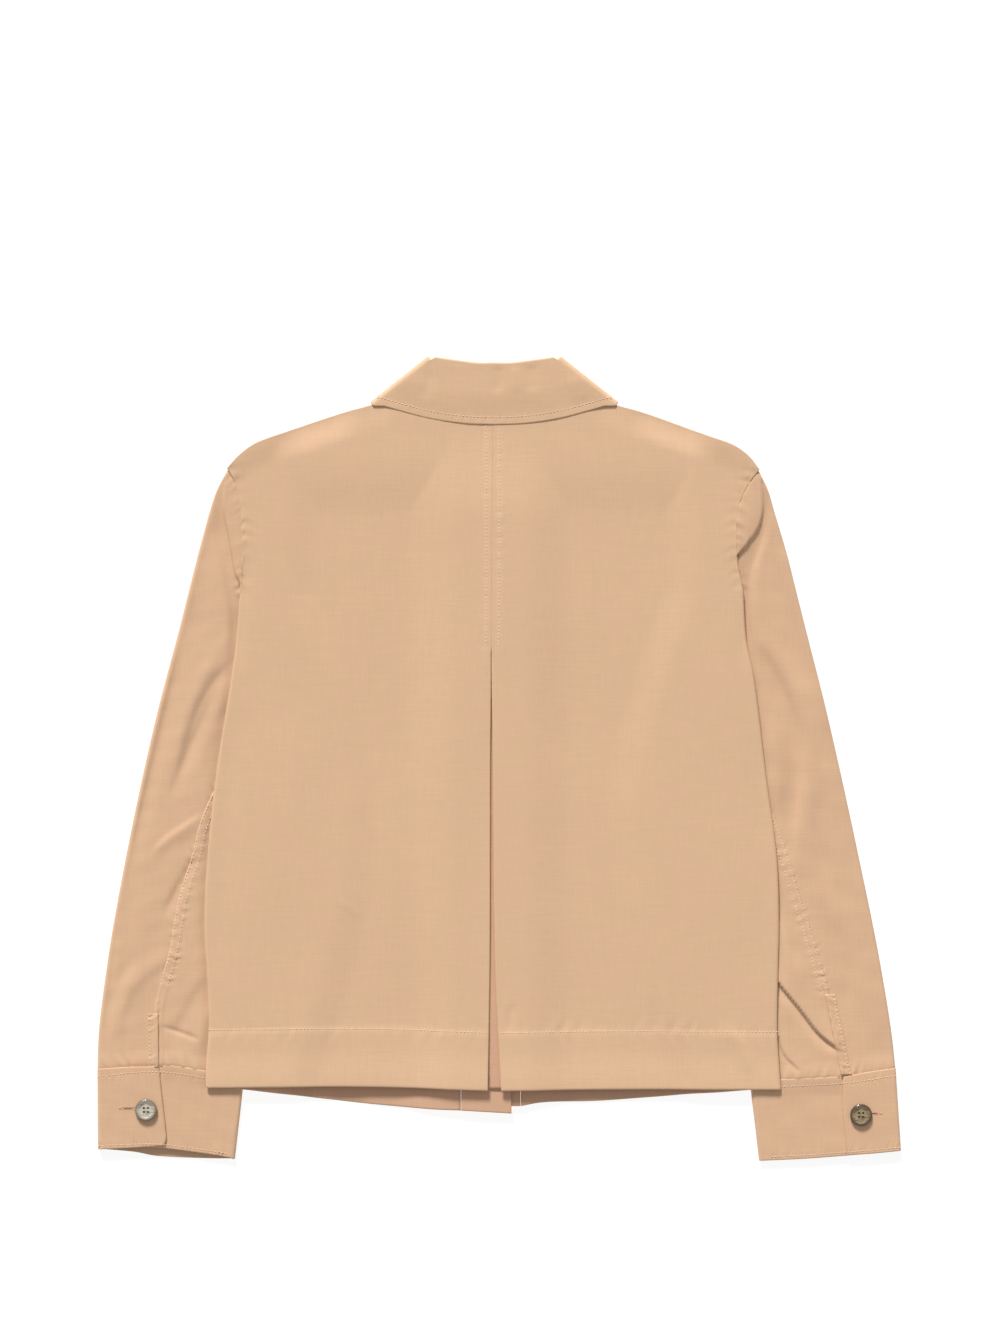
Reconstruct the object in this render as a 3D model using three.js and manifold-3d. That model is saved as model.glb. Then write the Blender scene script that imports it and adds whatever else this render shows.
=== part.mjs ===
// A cropped cotton overshirt, laid face down with its sleeves tucked under its sides.
// Millimetres, +Z up, +Y towards the collar. Left and right are the wearer's, so left is at -X.
import * as THREE from "three";
import { mergeVertices } from "three/addons/utils/BufferGeometryUtils.js";
import Module from "manifold-3d";

const wasm = await Module();
wasm.setup();
const { clamp, lerp, smoothstep, degToRad } = THREE.MathUtils;

// Cloth
const CLOTH = 1.0; // one layer of cotton
const DOUBLED = 1.5; // cloth on cloth, as in the collar, the cuffs and the front bands
const GAP = 0.3; // between pieces at a seam and between layers

// Buttons
const FRONT_BUTTON = { radius: 9, depth: 2.6, holes: 1.1, spread: 2.6, sides: 16 };
const CUFF_BUTTON = { radius: 9.5, depth: 3.2, holes: 1.2, spread: 2.8, sides: 28 };
const FRONT_BUTTON_COUNT = 6;
const FRONT_BUTTON_SPAN = { x: -7.5, first: 212, last: -250 };

// Undersides of the layers above the table, counted up from what lies below each of them
const SLEEVE_HEIGHT = 5.4;
const FRONT_ON_SLEEVE = SLEEVE_HEIGHT + GAP;
const BACK_ON_SLEEVE = FRONT_ON_SLEEVE + CLOTH + GAP;
const OVERLAP_BAND = FRONT_BUTTON.depth + GAP;
const UNDERLAP_BAND = OVERLAP_BAND + DOUBLED + GAP;
const FRONT_ON_COLLAR = 2.4;
const BACK_AT_REST = 4.8; // between the bands and the sleeves
const LAYER_STEP = CLOTH + GAP;
const BACK_ON_BANDS = UNDERLAP_BAND + DOUBLED + GAP + 2 * LAYER_STEP;
const CENTRE_RISE = BACK_ON_BANDS - BACK_AT_REST;
const LEAF_HEIGHT = 8.8; // the collar leaf round both sides of the neck
const STAND_UNDER = 6.0; // the stand behind the neck

// Where the layers ease from one height to the next
const BAND_ZONE = { from: -36, to: 20, ease: 45 };
const NECK_EASE = { low: 205, high: 285, left: 0.28 };
const COLLAR_ZONE = { low: 180, high: 198, half: 112, ease: 24 };
const SLEEVE_EASE = { frontMargin: 20, backMargin: 36, ease: 35 };
const FACET_GAP = 1.6; // where two curved seams meet in facets of different lengths
const SHOULDER_EASE = { depth: 25, near: 80, far: 96 };
const CENTRE_X = -5; // the garment lies 5 mm left of the middle of its spread sleeves

// Centre back: the seam allowance above the pleat, and the pleat's return below it
const PLEAT = { top: 98, ease: 16, allowance: 8, depth: 50 };

/** Rows of numbers as objects with named columns. */
const table = (columns, rows) =>
  rows.map((row) => Object.fromEntries(columns.map((column, index) => [column, row[index]])));
const points = (...rows) => table(["x", "y"], rows);

// The outline of each half, from the hem up, and the sleeve, from the shoulder down
const HALVES = {
  left: {
    sign: -1,
    side: points(
      [-252.4, -283.4], [-252.6, -267], [-250.2, -229], [-251.6, -190], [-254.1, -143], [-251.6, -87],
      [-243.8, -13], [-230.9, 69], [-226.6, 102], [-223.4, 143],
    ),
    armhole: points(
      [-223.4, 143], [-221.5, 181], [-221.9, 192], [-223.2, 214.6], [-228.3, 238.7], [-234.4, 249.6],
    ),
    shoulder: points(
      [-234.4, 249.6], [-224.5, 260.5], [-211.1, 270.5], [-189.6, 279], [-135.5, 297.4], [-110, 304.4],
      [-80, 316],
    ),
    backHem: points([-252.4, -283.4], [-120, -282.6], [-9.9, -285.5]),
    centreBack: points([-9.9, -285.5], [-8.2, -173], [-7.7, 7], [-7.2, 68], [-7.2, 98], [-5.8, 307]),
    frontHem: points([-251.6, -282.4], [-219.7, -285.1], [-120, -297.1], [-58.9, -302.3], [-33.4, -303.2]),
    frontEdge: points([-33.4, -303.2], [-33.4, 239]),
    sleeveOuter: points(
      [-234.7, 249.6], [-244.7, 231], [-250.7, 213.7], [-260.2, 179.3], [-268.8, 145], [-277.4, 110.5],
      [-295.4, 41.7], [-310.9, -27], [-324.7, -96], [-336.7, -165], [-345.3, -233.5], [-346.4, -267.6],
    ),
    sleeveInner: points(
      [-223.7, 143], [-199, 85], [-178.5, 16], [-172, -36], [-178.5, -122], [-199, -208], [-220, -275.5],
    ),
    sleeveEnd: points([-346.4, -267.6], [-293, -263.8], [-220, -275.5]),
    underStart: 3,
    sleeveSeam: table(
      ["t", "s"],
      [
        [0, 0.95], [0.12, 0.91], [0.3, 0.72], [0.45, 0.55], [0.57, 0.455], [0.73, 0.38], [0.9, 0.355],
        [1, 0.41],
      ],
    ),
    opening: points([-293.7, -219.7], [-293.5, -262.8]),
    cuffLow: points([-345.9, -337], [-227.9, -344.4]),
    overlap: { reach: 0.44, dip: 3.5, underlap: 0.2 },
    button: { x: -304, y: -302.3 },
  },
  right: {
    sign: 1,
    side: points(
      [242.1, -285], [240.8, -267], [239, -236], [239.5, -190], [240.4, -143], [238.7, -87],
      [229.2, -13], [218.9, 69], [212.4, 102], [209.8, 143],
    ),
    armhole: points([209.8, 143], [204.6, 171], [204.5, 193], [206, 216.3], [214.5, 236], [223.6, 248.6]),
    shoulder: points(
      [223.6, 248.6], [214.6, 260], [202.4, 269], [180.2, 277.4], [125.1, 297.4], [100, 304.4], [70, 316],
    ),
    backHem: points([242.1, -285], [110, -284.8], [1.3, -285.7]),
    centreBack: points([1.3, -285.7], [-3.9, -173], [-6, 7], [-6.9, 68], [-6.9, 98], [-5.5, 307]),
    frontHem: points([241.4, -283.4], [206, -286], [86.4, -295.2], [34.8, -296.7], [18.3, -299.5]),
    frontEdge: points([18.3, -299.5], [18.3, 239]),
    sleeveOuter: points(
      [223.9, 248.6], [232.6, 231], [237.8, 213.7], [248.1, 179.3], [256.7, 145], [265.3, 110.5],
      [282.5, 41.7], [298, -27], [312.6, -96], [326.4, -165], [337.6, -233.5], [341.2, -266.8],
    ),
    sleeveInner: points(
      [210.1, 143], [189, 85], [168.5, 16], [162, -36], [168.5, -122], [189, -208], [215.4, -277.5],
    ),
    sleeveEnd: points([341.2, -266.8], [296, -273.6], [215.4, -277.5]),
    underStart: 4,
    sleeveSeam: table(
      ["t", "s"],
      [
        [0, 0.95], [0.12, 0.91], [0.3, 0.75], [0.45, 0.6], [0.6, 0.47], [0.72, 0.415], [0.87, 0.337],
        [1, 0.367],
      ],
    ),
    opening: points([280.4, -203], [293.2, -269.6]),
    cuffLow: points([345.8, -338.4], [223.7, -346.8]),
    overlap: { reach: 0.36, dip: 0, underlap: 0.2 },
    button: { x: 310.9, y: -306.6 },
  },
};

// The largest folds on the sleeves, as soft ridges from one end to the other
const FOLDS = table(["half", "x1", "y1", "x2", "y2", "rise", "width"], [
  ["left", -277, 60, -313, -66, 1.6, 9],
  ["left", -296, -110, -318, -215, 1.1, 10],
  ["left", -262, 150, -255, 60, 1.0, 9],
  ["right", 268, 40, 262, -60, 1.4, 8],
  ["right", 253, -206, 279, -236, 1.8, 7],
  ["right", 286, -60, 318, -190, 1.2, 11],
  ["right", 236, 190, 250, 110, 1.0, 8],
]);

// One side of the collar: where each station's fold and lower edge lie, out from the centre line
const COLLAR = { x: -4.5, roundness: 5 };
const LEAF_BACK = table(["fold", "foldY", "edge", "edgeY"], [
  [0, 340.8, 0, 287.2], [14, 341.5, 28, 288.6], [30, 343.6, 56, 293.2], [45, 345.6, 82, 300],
  [57, 347, 105.5, 307.4],
]);
const LEAF_FRONT = table(["fold", "foldY", "edge", "edgeY"], [
  [57, 347, 105.5, 307.4], [48, 330, 97, 276], [32, 300, 80, 240], [6, 264, 58, 203],
]);
const STAND_BACK = table(["fold", "foldY", "edge", "edgeY"], [
  [0, 338.2, 0, 307.8], [14, 338.9, 22, 308.2], [30, 341, 44, 310.4], [53, 343.6, 72.5, 316.6],
]);
const STAND_FRONT = table(["fold", "foldY", "edge", "edgeY"], [
  [53, 343.6, 72.5, 316.6], [44, 327, 66, 284], [30, 296, 48, 254], [6, 262, 8, 241],
]);

// Finishes
const cotton = (colour) => new THREE.MeshStandardMaterial({ color: colour, roughness: 0.88, metalness: 0 });
const FINISH = {
  body: cotton(0xdab694),
  sleeve: cotton(0xd6ac8a),
  inside: cotton(0xd2a583),
  horn: new THREE.MeshStandardMaterial({ color: 0x8a7350, roughness: 0.3, metalness: 0 }),
  pearl: new THREE.MeshStandardMaterial({ color: 0xb9b3a4, roughness: 0.28, metalness: 0 }),
};

/** A smooth curve through the rows of a table, as a function of the share of its length. */
function through(rows) {
  const places = rows.map(({ x, y }) => new THREE.Vector3(x, y, 0));
  const curve = new THREE.CatmullRomCurve3(places, false, "centripetal");
  return (share) => curve.getPointAt(clamp(share, 0, 1));
}

/** Several curves end to end, each with its share of the whole. */
function joined(first, second, firstShare) {
  const rest = 1 - firstShare;
  return (share) => (share <= firstShare ? first(share / firstShare) : second((share - firstShare) / rest));
}

/** A four-sided patch, (s, t) to a point, from two curves along s and two along t. */
function patch(alongStart, alongEnd, downStart, downEnd) {
  return (s, t) => {
    const across = alongStart(s).clone().lerp(alongEnd(s), t);
    const down = downStart(t).clone().lerp(downEnd(t), s);
    const nearStart = downStart(0).clone().lerp(downEnd(0), s);
    const nearEnd = downStart(1).clone().lerp(downEnd(1), s);
    return across.add(down).sub(nearStart.lerp(nearEnd, t));
  };
}

/** The value of a column at a place between a table's rows. */
function read(rows, key, column, place) {
  const next = clamp(rows.findIndex((row) => row[key] >= place), 1, rows.length - 1) || rows.length - 1;
  const [low, high] = [rows[next - 1], rows[next]];
  return lerp(low[column], high[column], clamp((place - low[key]) / (high[key] - low[key]), 0, 1));
}

const steps = (count, from = 0, to = 1) =>
  Array.from({ length: count + 1 }, (_, index) => lerp(from, to, index / count));

/** A named solid from rows of stations, each with a point on the outer and one on the inner face. */
function shell(name, finish, rows) {
  const columns = rows[0].length;
  const pointsOf = (face) => rows.flatMap((row) => row.flatMap((at) => at[face]));
  const positions = [...pointsOf("outer"), ...pointsOf("inner")];
  const outer = (row, column) => row * columns + column;
  const inner = (row, column) => rows.length * columns + outer(row, column);
  const triangles = [];
  const quad = (a, b, c, d) => triangles.push([a, b, c], [a, c, d]);
  for (let row = 0; row < rows.length - 1; row += 1) {
    for (let column = 0; column < columns - 1; column += 1) {
      quad(outer(row, column), outer(row, column + 1), outer(row + 1, column + 1), outer(row + 1, column));
      quad(inner(row, column), inner(row + 1, column), inner(row + 1, column + 1), inner(row, column + 1));
    }
    quad(outer(row, 0), outer(row + 1, 0), inner(row + 1, 0), inner(row, 0));
    const end = columns - 1;
    quad(outer(row, end), inner(row, end), inner(row + 1, end), outer(row + 1, end));
  }
  const last = rows.length - 1;
  for (let column = 0; column < columns - 1; column += 1) {
    quad(outer(0, column), inner(0, column), inner(0, column + 1), outer(0, column + 1));
    quad(outer(last, column), outer(last, column + 1), inner(last, column + 1), inner(last, column));
  }
  return named(name, finish, positions, triangles);
}

/** A mesh whose faces point out, whichever way its rows ran. */
function named(name, finish, positions, triangles) {
  const corner = (index) => new THREE.Vector3().fromArray(positions, 3 * index);
  const volume = triangles.reduce((sum, [a, b, c]) => sum + corner(a).dot(corner(b).cross(corner(c))) / 6, 0);
  const facing = volume < 0 ? triangles.map(([a, b, c]) => [a, c, b]) : triangles;
  const geometry = new THREE.BufferGeometry();
  geometry.setAttribute("position", new THREE.Float32BufferAttribute(positions, 3));
  geometry.setIndex(facing.flat());
  geometry.computeVertexNormals();
  const mesh = new THREE.Mesh(geometry, finish);
  mesh.name = name;
  return mesh;
}

const station = ({ x, y }, outerZ, innerZ) => ({ outer: [x, y, outerZ], inner: [x, y, innerZ] });

/** Stations round a fold: a half turn about a middle point, out along a direction in plan. */
function foldStations(middle, outward, low, high, wall, count, fromAngle, toAngle) {
  const radius = (high - low) / 2;
  return steps(count, degToRad(fromAngle), degToRad(toAngle)).map((angle) => {
    const at = (reach) => {
      const plan = middle.clone().addScaledVector(outward, reach * Math.cos(angle));
      return [plan.x, plan.y, (low + high) / 2 + reach * Math.sin(angle)];
    };
    return { outer: at(radius), inner: at(radius - wall) };
  });
}

/** How much of the rise over the front bands is felt at a place, from 0 to 1. */
function bandRise(x) {
  const { from, to, ease } = BAND_ZONE;
  return smoothstep(x, from - ease, from) * (1 - smoothstep(x, to, to + ease));
}

/** How much a place lies over the sleeve that is tucked under the body, from 0 to 1. */
function sleeveRise(half, x, y, margin) {
  const { sign, sleeveInner } = HALVES[half];
  const upward = [...sleeveInner].reverse();
  const edge = sign * read(upward, "y", "x", y) - margin;
  return smoothstep(sign * x, edge - SLEEVE_EASE.ease, edge);
}

/** How much a place lies over the front of the collar, from 0 to 1. */
function collarRise(x, y) {
  const out = Math.abs(x - CENTRE_X);
  const { low, high, half, ease } = COLLAR_ZONE;
  return smoothstep(y, low, high) * (1 - smoothstep(out, half, half + ease));
}

/** The underside of a front, over the bands, the collar or a sleeve. */
function frontUnder(half, x, y) {
  const band = half === "left" ? UNDERLAP_BAND : OVERLAP_BAND;
  const side = FRONT_ON_SLEEVE * sleeveRise(half, x, y, SLEEVE_EASE.frontMargin);
  return Math.max(band * bandRise(x), FRONT_ON_COLLAR * collarRise(x, y), side);
}

/** The underside of a back half, which closes onto the front along the shoulder. */
function backUnder(half, x, y) {
  const neck = lerp(1, NECK_EASE.left, smoothstep(y, NECK_EASE.low, NECK_EASE.high));
  const overBands = Math.max(bandRise(x), smoothstep(y, NECK_EASE.low, NECK_EASE.high));
  const centre = BACK_AT_REST + CENTRE_RISE * neck * overBands;
  const side = lerp(BACK_AT_REST, BACK_ON_SLEEVE, sleeveRise(half, x, y, SLEEVE_EASE.backMargin));
  const out = Math.abs(x - CENTRE_X);
  const below = shoulderHeight(half, x) - y;
  const nearEdge = 1 - smoothstep(below, 0, SHOULDER_EASE.depth);
  const closing = smoothstep(out, SHOULDER_EASE.near, SHOULDER_EASE.far) * nearEdge;
  return lerp(Math.max(centre, side), frontUnder(half, x, y) + CLOTH + FACET_GAP, closing);
}

function shoulderHeight(half, x) {
  const { sign, shoulder } = HALVES[half];
  const outward = [...shoulder].reverse().map((row) => ({ out: sign * row.x, y: row.y }));
  return read(outward, "out", "y", sign * x);
}

const bodySide = (outline) => joined(through(outline.side), through(outline.armhole), 0.79);

/** A back half, with its seam allowance and pleat return folded under at the centre. */
function backHalf(half) {
  const outline = HALVES[half];
  const neckline = through(points(
    [outline.shoulder.at(-1).x, 316],
    [CENTRE_X + 42 * outline.sign, 309.5],
    [outline.centreBack.at(-1).x, 307],
  ));
  const top = joined(through(outline.shoulder), neckline, 0.68);
  const at = patch(through(outline.backHem), top, bodySide(outline), through(outline.centreBack));
  const foldHeight = 2 * CLOTH + GAP;
  const rows = steps(24).map((t) => {
    const edge = at(1, t);
    const outward = edge.clone().sub(at(0.9, t)).normalize();
    const middle = edge.clone().addScaledVector(outward, -foldHeight / 2);
    const cloth = steps(12, 0, 0.995).map((s) => {
      const plan = s < 0.99 ? at(s * 0.98, t) : middle;
      const under = backUnder(half, plan.x, plan.y);
      return station(plan, under + CLOTH, under);
    });
    const underEdge = backUnder(half, middle.x, middle.y);
    const low = underEdge - LAYER_STEP;
    const turn = foldStations(middle, outward, low, low + foldHeight, CLOTH, 4, 90, -90).slice(1);
    const reach = lerp(PLEAT.depth, PLEAT.allowance, smoothstep(edge.y, PLEAT.top - PLEAT.ease, PLEAT.top));
    const folded = steps(3).slice(1).map((share) => {
      const plan = middle.clone().addScaledVector(outward, -reach * share);
      const under = backUnder(half, plan.x, plan.y);
      return station(plan, under - LAYER_STEP, under - GAP);
    });
    return [...cloth, ...turn, ...folded];
  });
  return shell(`back_${half}`, FINISH.body, rows);
}

/** The strip behind the pleat, from the pleat's top to just above the hem. */
function pleatUnderlay() {
  const [left, right, bottom, top] = [-58, 48, -284.7, 74];
  const rows = steps(8, bottom, top).map((y) =>
    steps(10, left, right).map((x) => {
      const under = BACK_AT_REST - 2 * LAYER_STEP + CENTRE_RISE * bandRise(x);
      return station({ x, y }, under + CLOTH, under);
    }),
  );
  return shell("pleat_underlay", FINISH.inside, rows);
}

/** A front, from its side seam and armhole to the seam of its band. */
function front(half) {
  const outline = HALVES[half];
  const { sign } = outline;
  const edge = outline.frontEdge.at(-1);
  const neckline = through(points(
    [outline.shoulder.at(-1).x, 315.8], [CENTRE_X + sign * 69, 284], [CENTRE_X + sign * 50, 252],
    [edge.x, edge.y],
  ));
  const sideSeam = [outline.frontHem[0], ...outline.side.slice(1)];
  const side = joined(through(sideSeam), through(outline.armhole), 0.79);
  const top = joined(through(outline.shoulder), neckline, 0.62);
  const at = patch(through(outline.frontHem), top, side, through(outline.frontEdge));
  const rows = steps(18).map((t) =>
    steps(11).map((s) => {
      const plan = at(s, t);
      const under = frontUnder(half, plan.x, plan.y);
      return station(plan, under + CLOTH, under);
    }),
  );
  return shell(`front_${half}`, FINISH.body, rows);
}

/** A front band: the left one lies inside and carries the buttons, the right one lies outside. */
function band(half) {
  const size = {
    left: { x: [-33.1, 10.3], hem: [-303.2, -305.7], under: UNDERLAP_BAND },
    right: { x: [-25, 18], hem: [-299.8, -299.5], under: OVERLAP_BAND },
  }[half];
  const [near, far] = size.x;
  const [nearHem, farHem] = size.hem;
  const top = 239;
  const rows = steps(6).map((t) =>
    steps(2).map((s) => station(
      { x: lerp(near, far, s), y: lerp(lerp(nearHem, farHem, s), top, t) }, size.under + DOUBLED, size.under,
    )),
  );
  return shell(`placket_${half}`, FINISH.body, rows);
}

/** The rise of the sleeve folds at a place, with no tail that is thinner than a fibre. */
function foldRise(half, x, y) {
  const rise = FOLDS.filter((fold) => fold.half === half).reduce((sum, { x1, y1, x2, y2, rise, width }) => {
    const [dx, dy] = [x2 - x1, y2 - y1];
    const along = ((x - x1) * dx + (y - y1) * dy) / (dx * dx + dy * dy);
    const apart = Math.hypot(x - x1 - along * dx, y - y1 - along * dy);
    const fade = smoothstep(along, -0.1, 0.25) * (1 - smoothstep(along, 0.75, 1.1));
    return sum + rise * fade * Math.exp(-((apart / width) ** 2));
  }, 0);
  return Math.max(0, rise - 0.04);
}

/** A sleeve's plan and the heights of its two faces. */
function sleeveForm(half) {
  const outline = HALVES[half];
  const shifted = [...outline.armhole].reverse().map(({ x, y }) => ({ x: x + outline.sign * FACET_GAP, y }));
  const [armhole, end] = [through(shifted), through(outline.sleeveEnd)];
  const at = patch(armhole, end, through(outline.sleeveOuter), through(outline.sleeveInner));
  const lift = (s, t) => (1 - smoothstep(t, 0, 0.13)) * (1 - smoothstep(s, 0.35, 0.58));
  const low = (s, t) => FRONT_ON_SLEEVE * lift(s, t);
  const high = (s, t) => {
    const plan = at(s, t);
    const rise = foldRise(half, plan.x, plan.y);
    return lerp(SLEEVE_HEIGHT, BACK_ON_SLEEVE + CLOTH, lift(s, t)) + rise;
  };
  return { at, low, high };
}

/** The two pieces of a sleeve: the upper one round its outer edge, the under one round its inner edge. */
function sleeve(half) {
  const { at, low, high } = sleeveForm(half);
  const { sleeveSeam, underStart } = HALVES[half];
  const frontSeam = 0.6;
  const piece = (name, edge) => {
    const start = edge === 0 ? 0 : underStart;
    const rows = steps(20).slice(start).map((t) => {
      const width = at(0, t).distanceTo(at(1, t));
      const radius = (high(edge, t) - low(edge, t)) / 2;
      const inset = edge === 0 ? radius / width : 1 - radius / width;
      const gap = edge === 0 ? 0 : GAP / width;
      const seam = read(sleeveSeam, "t", "s", t) + gap;
      const turnAt = at(inset, t);
      const outward = at(edge, t).sub(turnAt).normalize();
      const flat = (from, to, count, outerFace) => steps(count, from, to).map((s) => {
        const [bottom, top] = [low(s, t), high(s, t)];
        const [outerZ, innerZ] = outerFace === "top" ? [top, top - CLOTH] : [bottom, bottom + CLOTH];
        return station(at(s, t), outerZ, innerZ);
      });
      const [bottom, top] = [low(inset, t), high(inset, t)];
      const turn = foldStations(turnAt, outward, bottom, top, CLOTH, 4, 90, -90).slice(1, -1);
      return [...flat(seam, inset, 5, "top"), ...turn, ...flat(inset, frontSeam + gap, 3, "bottom")];
    });
    return shell(name, FINISH.sleeve, rows);
  };
  return [piece(`sleeve_upper_${half}`, 0), piece(`sleeve_under_${half}`, 1)];
}

/** The narrow facing along a cuff opening, on the sleeve's upper face. */
function sleevePlacket(half) {
  const { sign, opening } = HALVES[half];
  const line = through(opening);
  const width = 9;
  const rows = steps(5).map((share) =>
    steps(2).map((across) => {
      const edge = line(share);
      const plan = { x: edge.x + sign * width * across, y: edge.y };
      const under = SLEEVE_HEIGHT + foldRise(half, plan.x, plan.y) + GAP;
      return station(plan, under + CLOTH, under);
    }),
  );
  return shell(`sleeve_placket_${half}`, FINISH.sleeve, rows);
}

/** A buttoned cuff: one doubled strip, from its hidden underlap round the wrist to its overlap. */
function cuff(half) {
  const { sleeveEnd, cuffLow, overlap } = HALVES[half];
  const [topEdge, lowEdge] = [through(sleeveEnd), through(cuffLow)];
  const underTop = 5.1;
  const overUnder = underTop + GAP;
  const overTop = overUnder + DOUBLED;
  const at = (s, t) => {
    const top = topEdge(s);
    top.y -= FACET_GAP * 0.6;
    return top.lerp(lowEdge(s), t);
  };
  const rows = steps(4).map((t) => {
    const width = at(0, t).distanceTo(at(1, t));
    const along = at(1, t).sub(at(0, t)).normalize();
    const innerTurn = at(1, t).addScaledVector(along, -underTop / 2);
    const outerTurn = at(0, t).addScaledVector(along, overTop / 2);
    const [innerShare, outerShare] = [1 - underTop / 2 / width, overTop / 2 / width];
    const flat = (from, to, count, outerZ, innerZ, dip) => steps(count, from, to).map((s) => {
      const plan = at(s, t);
      plan.y += dip * t * s / overlap.reach;
      return station(plan, outerZ, innerZ);
    });
    return [
      ...flat(overlap.reach - overlap.underlap, innerShare, 6, underTop, underTop - DOUBLED, 0),
      ...foldStations(innerTurn, along, 0, underTop, DOUBLED, 4, 90, -90).slice(1, -1),
      ...flat(innerShare, outerShare, 5, 0, DOUBLED, 0),
      ...foldStations(outerTurn, along.clone().negate(), 0, overTop, DOUBLED, 4, -90, 90).slice(1, -1),
      ...flat(outerShare, overlap.reach, 4, overTop, overUnder, overlap.dip),
    ];
  });
  return shell(`cuff_${half}`, FINISH.sleeve, rows);
}

/** Stations of a collar piece from the left front, round the neck at the back, to the right front. */
function collarPiece(name, backTable, frontTable, low, high, wall, rowCount) {
  const side = (rows, sign) => rows.map(({ fold, foldY, edge, edgeY }) => ({
    fold: new THREE.Vector3(COLLAR.x + sign * fold, foldY, 0),
    edge: new THREE.Vector3(COLLAR.x + sign * edge, edgeY, 0),
  }));
  const smooth = (rows, count) => {
    const curveOf = (key) => new THREE.CatmullRomCurve3(rows.map((row) => row[key]));
    const [folds, edges] = [curveOf("fold"), curveOf("edge")];
    return steps(count).map((share) => ({ fold: folds.getPoint(share), edge: edges.getPoint(share) }));
  };
  const turned = (sign) => {
    const { fold, edge } = side(backTable, sign).at(-1);
    const [rise, run] = [Math.abs(fold.y - edge.y), Math.abs(fold.x - edge.x)];
    const outward = new THREE.Vector3(sign * rise, run, 0).normalize();
    return { fold, edge, outward };
  };
  const radius = (high - low) / 2;
  const row = (share) => {
    const flat = (pairs, outerZ, innerZ) =>
      pairs.map(({ fold, edge }) => station(fold.clone().lerp(edge, share), outerZ, innerZ));
    const turn = (sign, fromAngle, toAngle) => {
      const { fold, edge, outward } = turned(sign);
      const middle = fold.clone().lerp(edge, share).addScaledVector(outward, -radius);
      return foldStations(middle, outward, low, high, wall, COLLAR.roundness, fromAngle, toAngle);
    };
    const frontPairs = (sign) => smooth(side(frontTable, sign), 6).slice(1);
    const backPairs = (sign) => smooth(side(backTable, sign), 5).slice(0, -1);
    return [
      ...flat(frontPairs(-1), low, low + wall).reverse(),
      ...turn(-1, -90, 90),
      ...flat(backPairs(-1), high, high - wall).reverse(),
      ...flat(backPairs(1).slice(1), high, high - wall),
      ...turn(1, 90, -90),
      ...flat(frontPairs(1), low, low + wall),
    ];
  };
  return shell(name, FINISH.body, steps(rowCount).map(row));
}

/** A closed mesh as a solid for cutting. */
function solidOf(geometry) {
  const bare = geometry.clone();
  bare.deleteAttribute("normal");
  bare.deleteAttribute("uv");
  const merged = mergeVertices(bare, 1e-4);
  const { array } = merged.attributes.position;
  return new wasm.Manifold(new wasm.Mesh({
    numProp: 3, vertProperties: Float32Array.from(array), triVerts: Uint32Array.from(merged.index.array),
  }));
}

/** A sew-through button with a raised rim and four holes, its underside at the given height. */
function button(name, finish, size, x, y, z) {
  const { radius, depth, holes, spread, sides } = size;
  const profile = table(["r", "z"], [
    [0, 0], [radius - 1.4, 0], [radius, 0.35 * depth], [radius - 0.5, 0.9 * depth], [radius - 1.6, depth],
    [radius - 3.2, 0.66 * depth], [0, 0.62 * depth],
  ]);
  const lathe = new THREE.LatheGeometry(profile.map((row) => new THREE.Vector2(row.r, row.z)), sides);
  lathe.rotateX(Math.PI / 2);
  const drills = steps(4, 45, 405).slice(0, -1).map((angle) => {
    const drill = new THREE.CylinderGeometry(holes, holes, 4 * depth, 8);
    drill.rotateX(Math.PI / 2);
    drill.translate(spread * Math.cos(degToRad(angle)), spread * Math.sin(degToRad(angle)), 0);
    return solidOf(drill);
  });
  const cut = drills.reduce((solid, drill) => solid.subtract(drill), solidOf(lathe)).getMesh();
  const positions = Array.from(cut.vertProperties);
  const corners = (index) => Array.from(cut.triVerts.slice(3 * index, 3 * index + 3));
  const triangles = Array.from({ length: cut.numTri }, (_, index) => corners(index));
  const mesh = named(name, finish, positions, triangles);
  mesh.position.set(x, y, z);
  return mesh;
}

/** The buttons down the front, under the overlap band. */
function frontButtons() {
  const { x, first, last } = FRONT_BUTTON_SPAN;
  return steps(FRONT_BUTTON_COUNT - 1, first, last)
    .map((y, index) => button(`front_button_${index + 1}`, FINISH.horn, FRONT_BUTTON, x, y, 0));
}

const cuffButtonHeight = 5.1 + GAP + DOUBLED + GAP;
const cuffButton = (half, finish) => {
  const { x, y } = HALVES[half].button;
  return button(`cuff_button_${half}`, finish, CUFF_BUTTON, x, y, cuffButtonHeight);
};

const group = new THREE.Group();
for (const half of Object.keys(HALVES)) {
  group.add(backHalf(half), front(half), band(half), ...sleeve(half), sleevePlacket(half), cuff(half));
}
group.add(
  pleatUnderlay(),
  collarPiece("collar_leaf", LEAF_BACK, LEAF_FRONT, 0, LEAF_HEIGHT, DOUBLED, 5),
  collarPiece("collar_stand", STAND_BACK, STAND_FRONT, FRONT_ON_COLLAR, STAND_UNDER + CLOTH, CLOTH, 3),
  cuffButton("left", FINISH.pearl),
  cuffButton("right", FINISH.horn),
  ...frontButtons(),
);

// The origin is the middle of the box that the garment fills, on the table
const box = new THREE.Box3().setFromObject(group);
const middle = box.getCenter(new THREE.Vector3());
group.position.set(-middle.x, -middle.y, -box.min.z);

export default group;
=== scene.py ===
"""A cropped cotton overshirt, laid face down with its sleeves tucked under its sides, on a white studio table.

The patterns are in millimetres and in the garment's own frame, +Y towards the collar, and the meshes in metres.
Left and right are the wearer's, so left is at -X.
"""

import logging
import math
from dataclasses import dataclass, field
from enum import Enum

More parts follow.
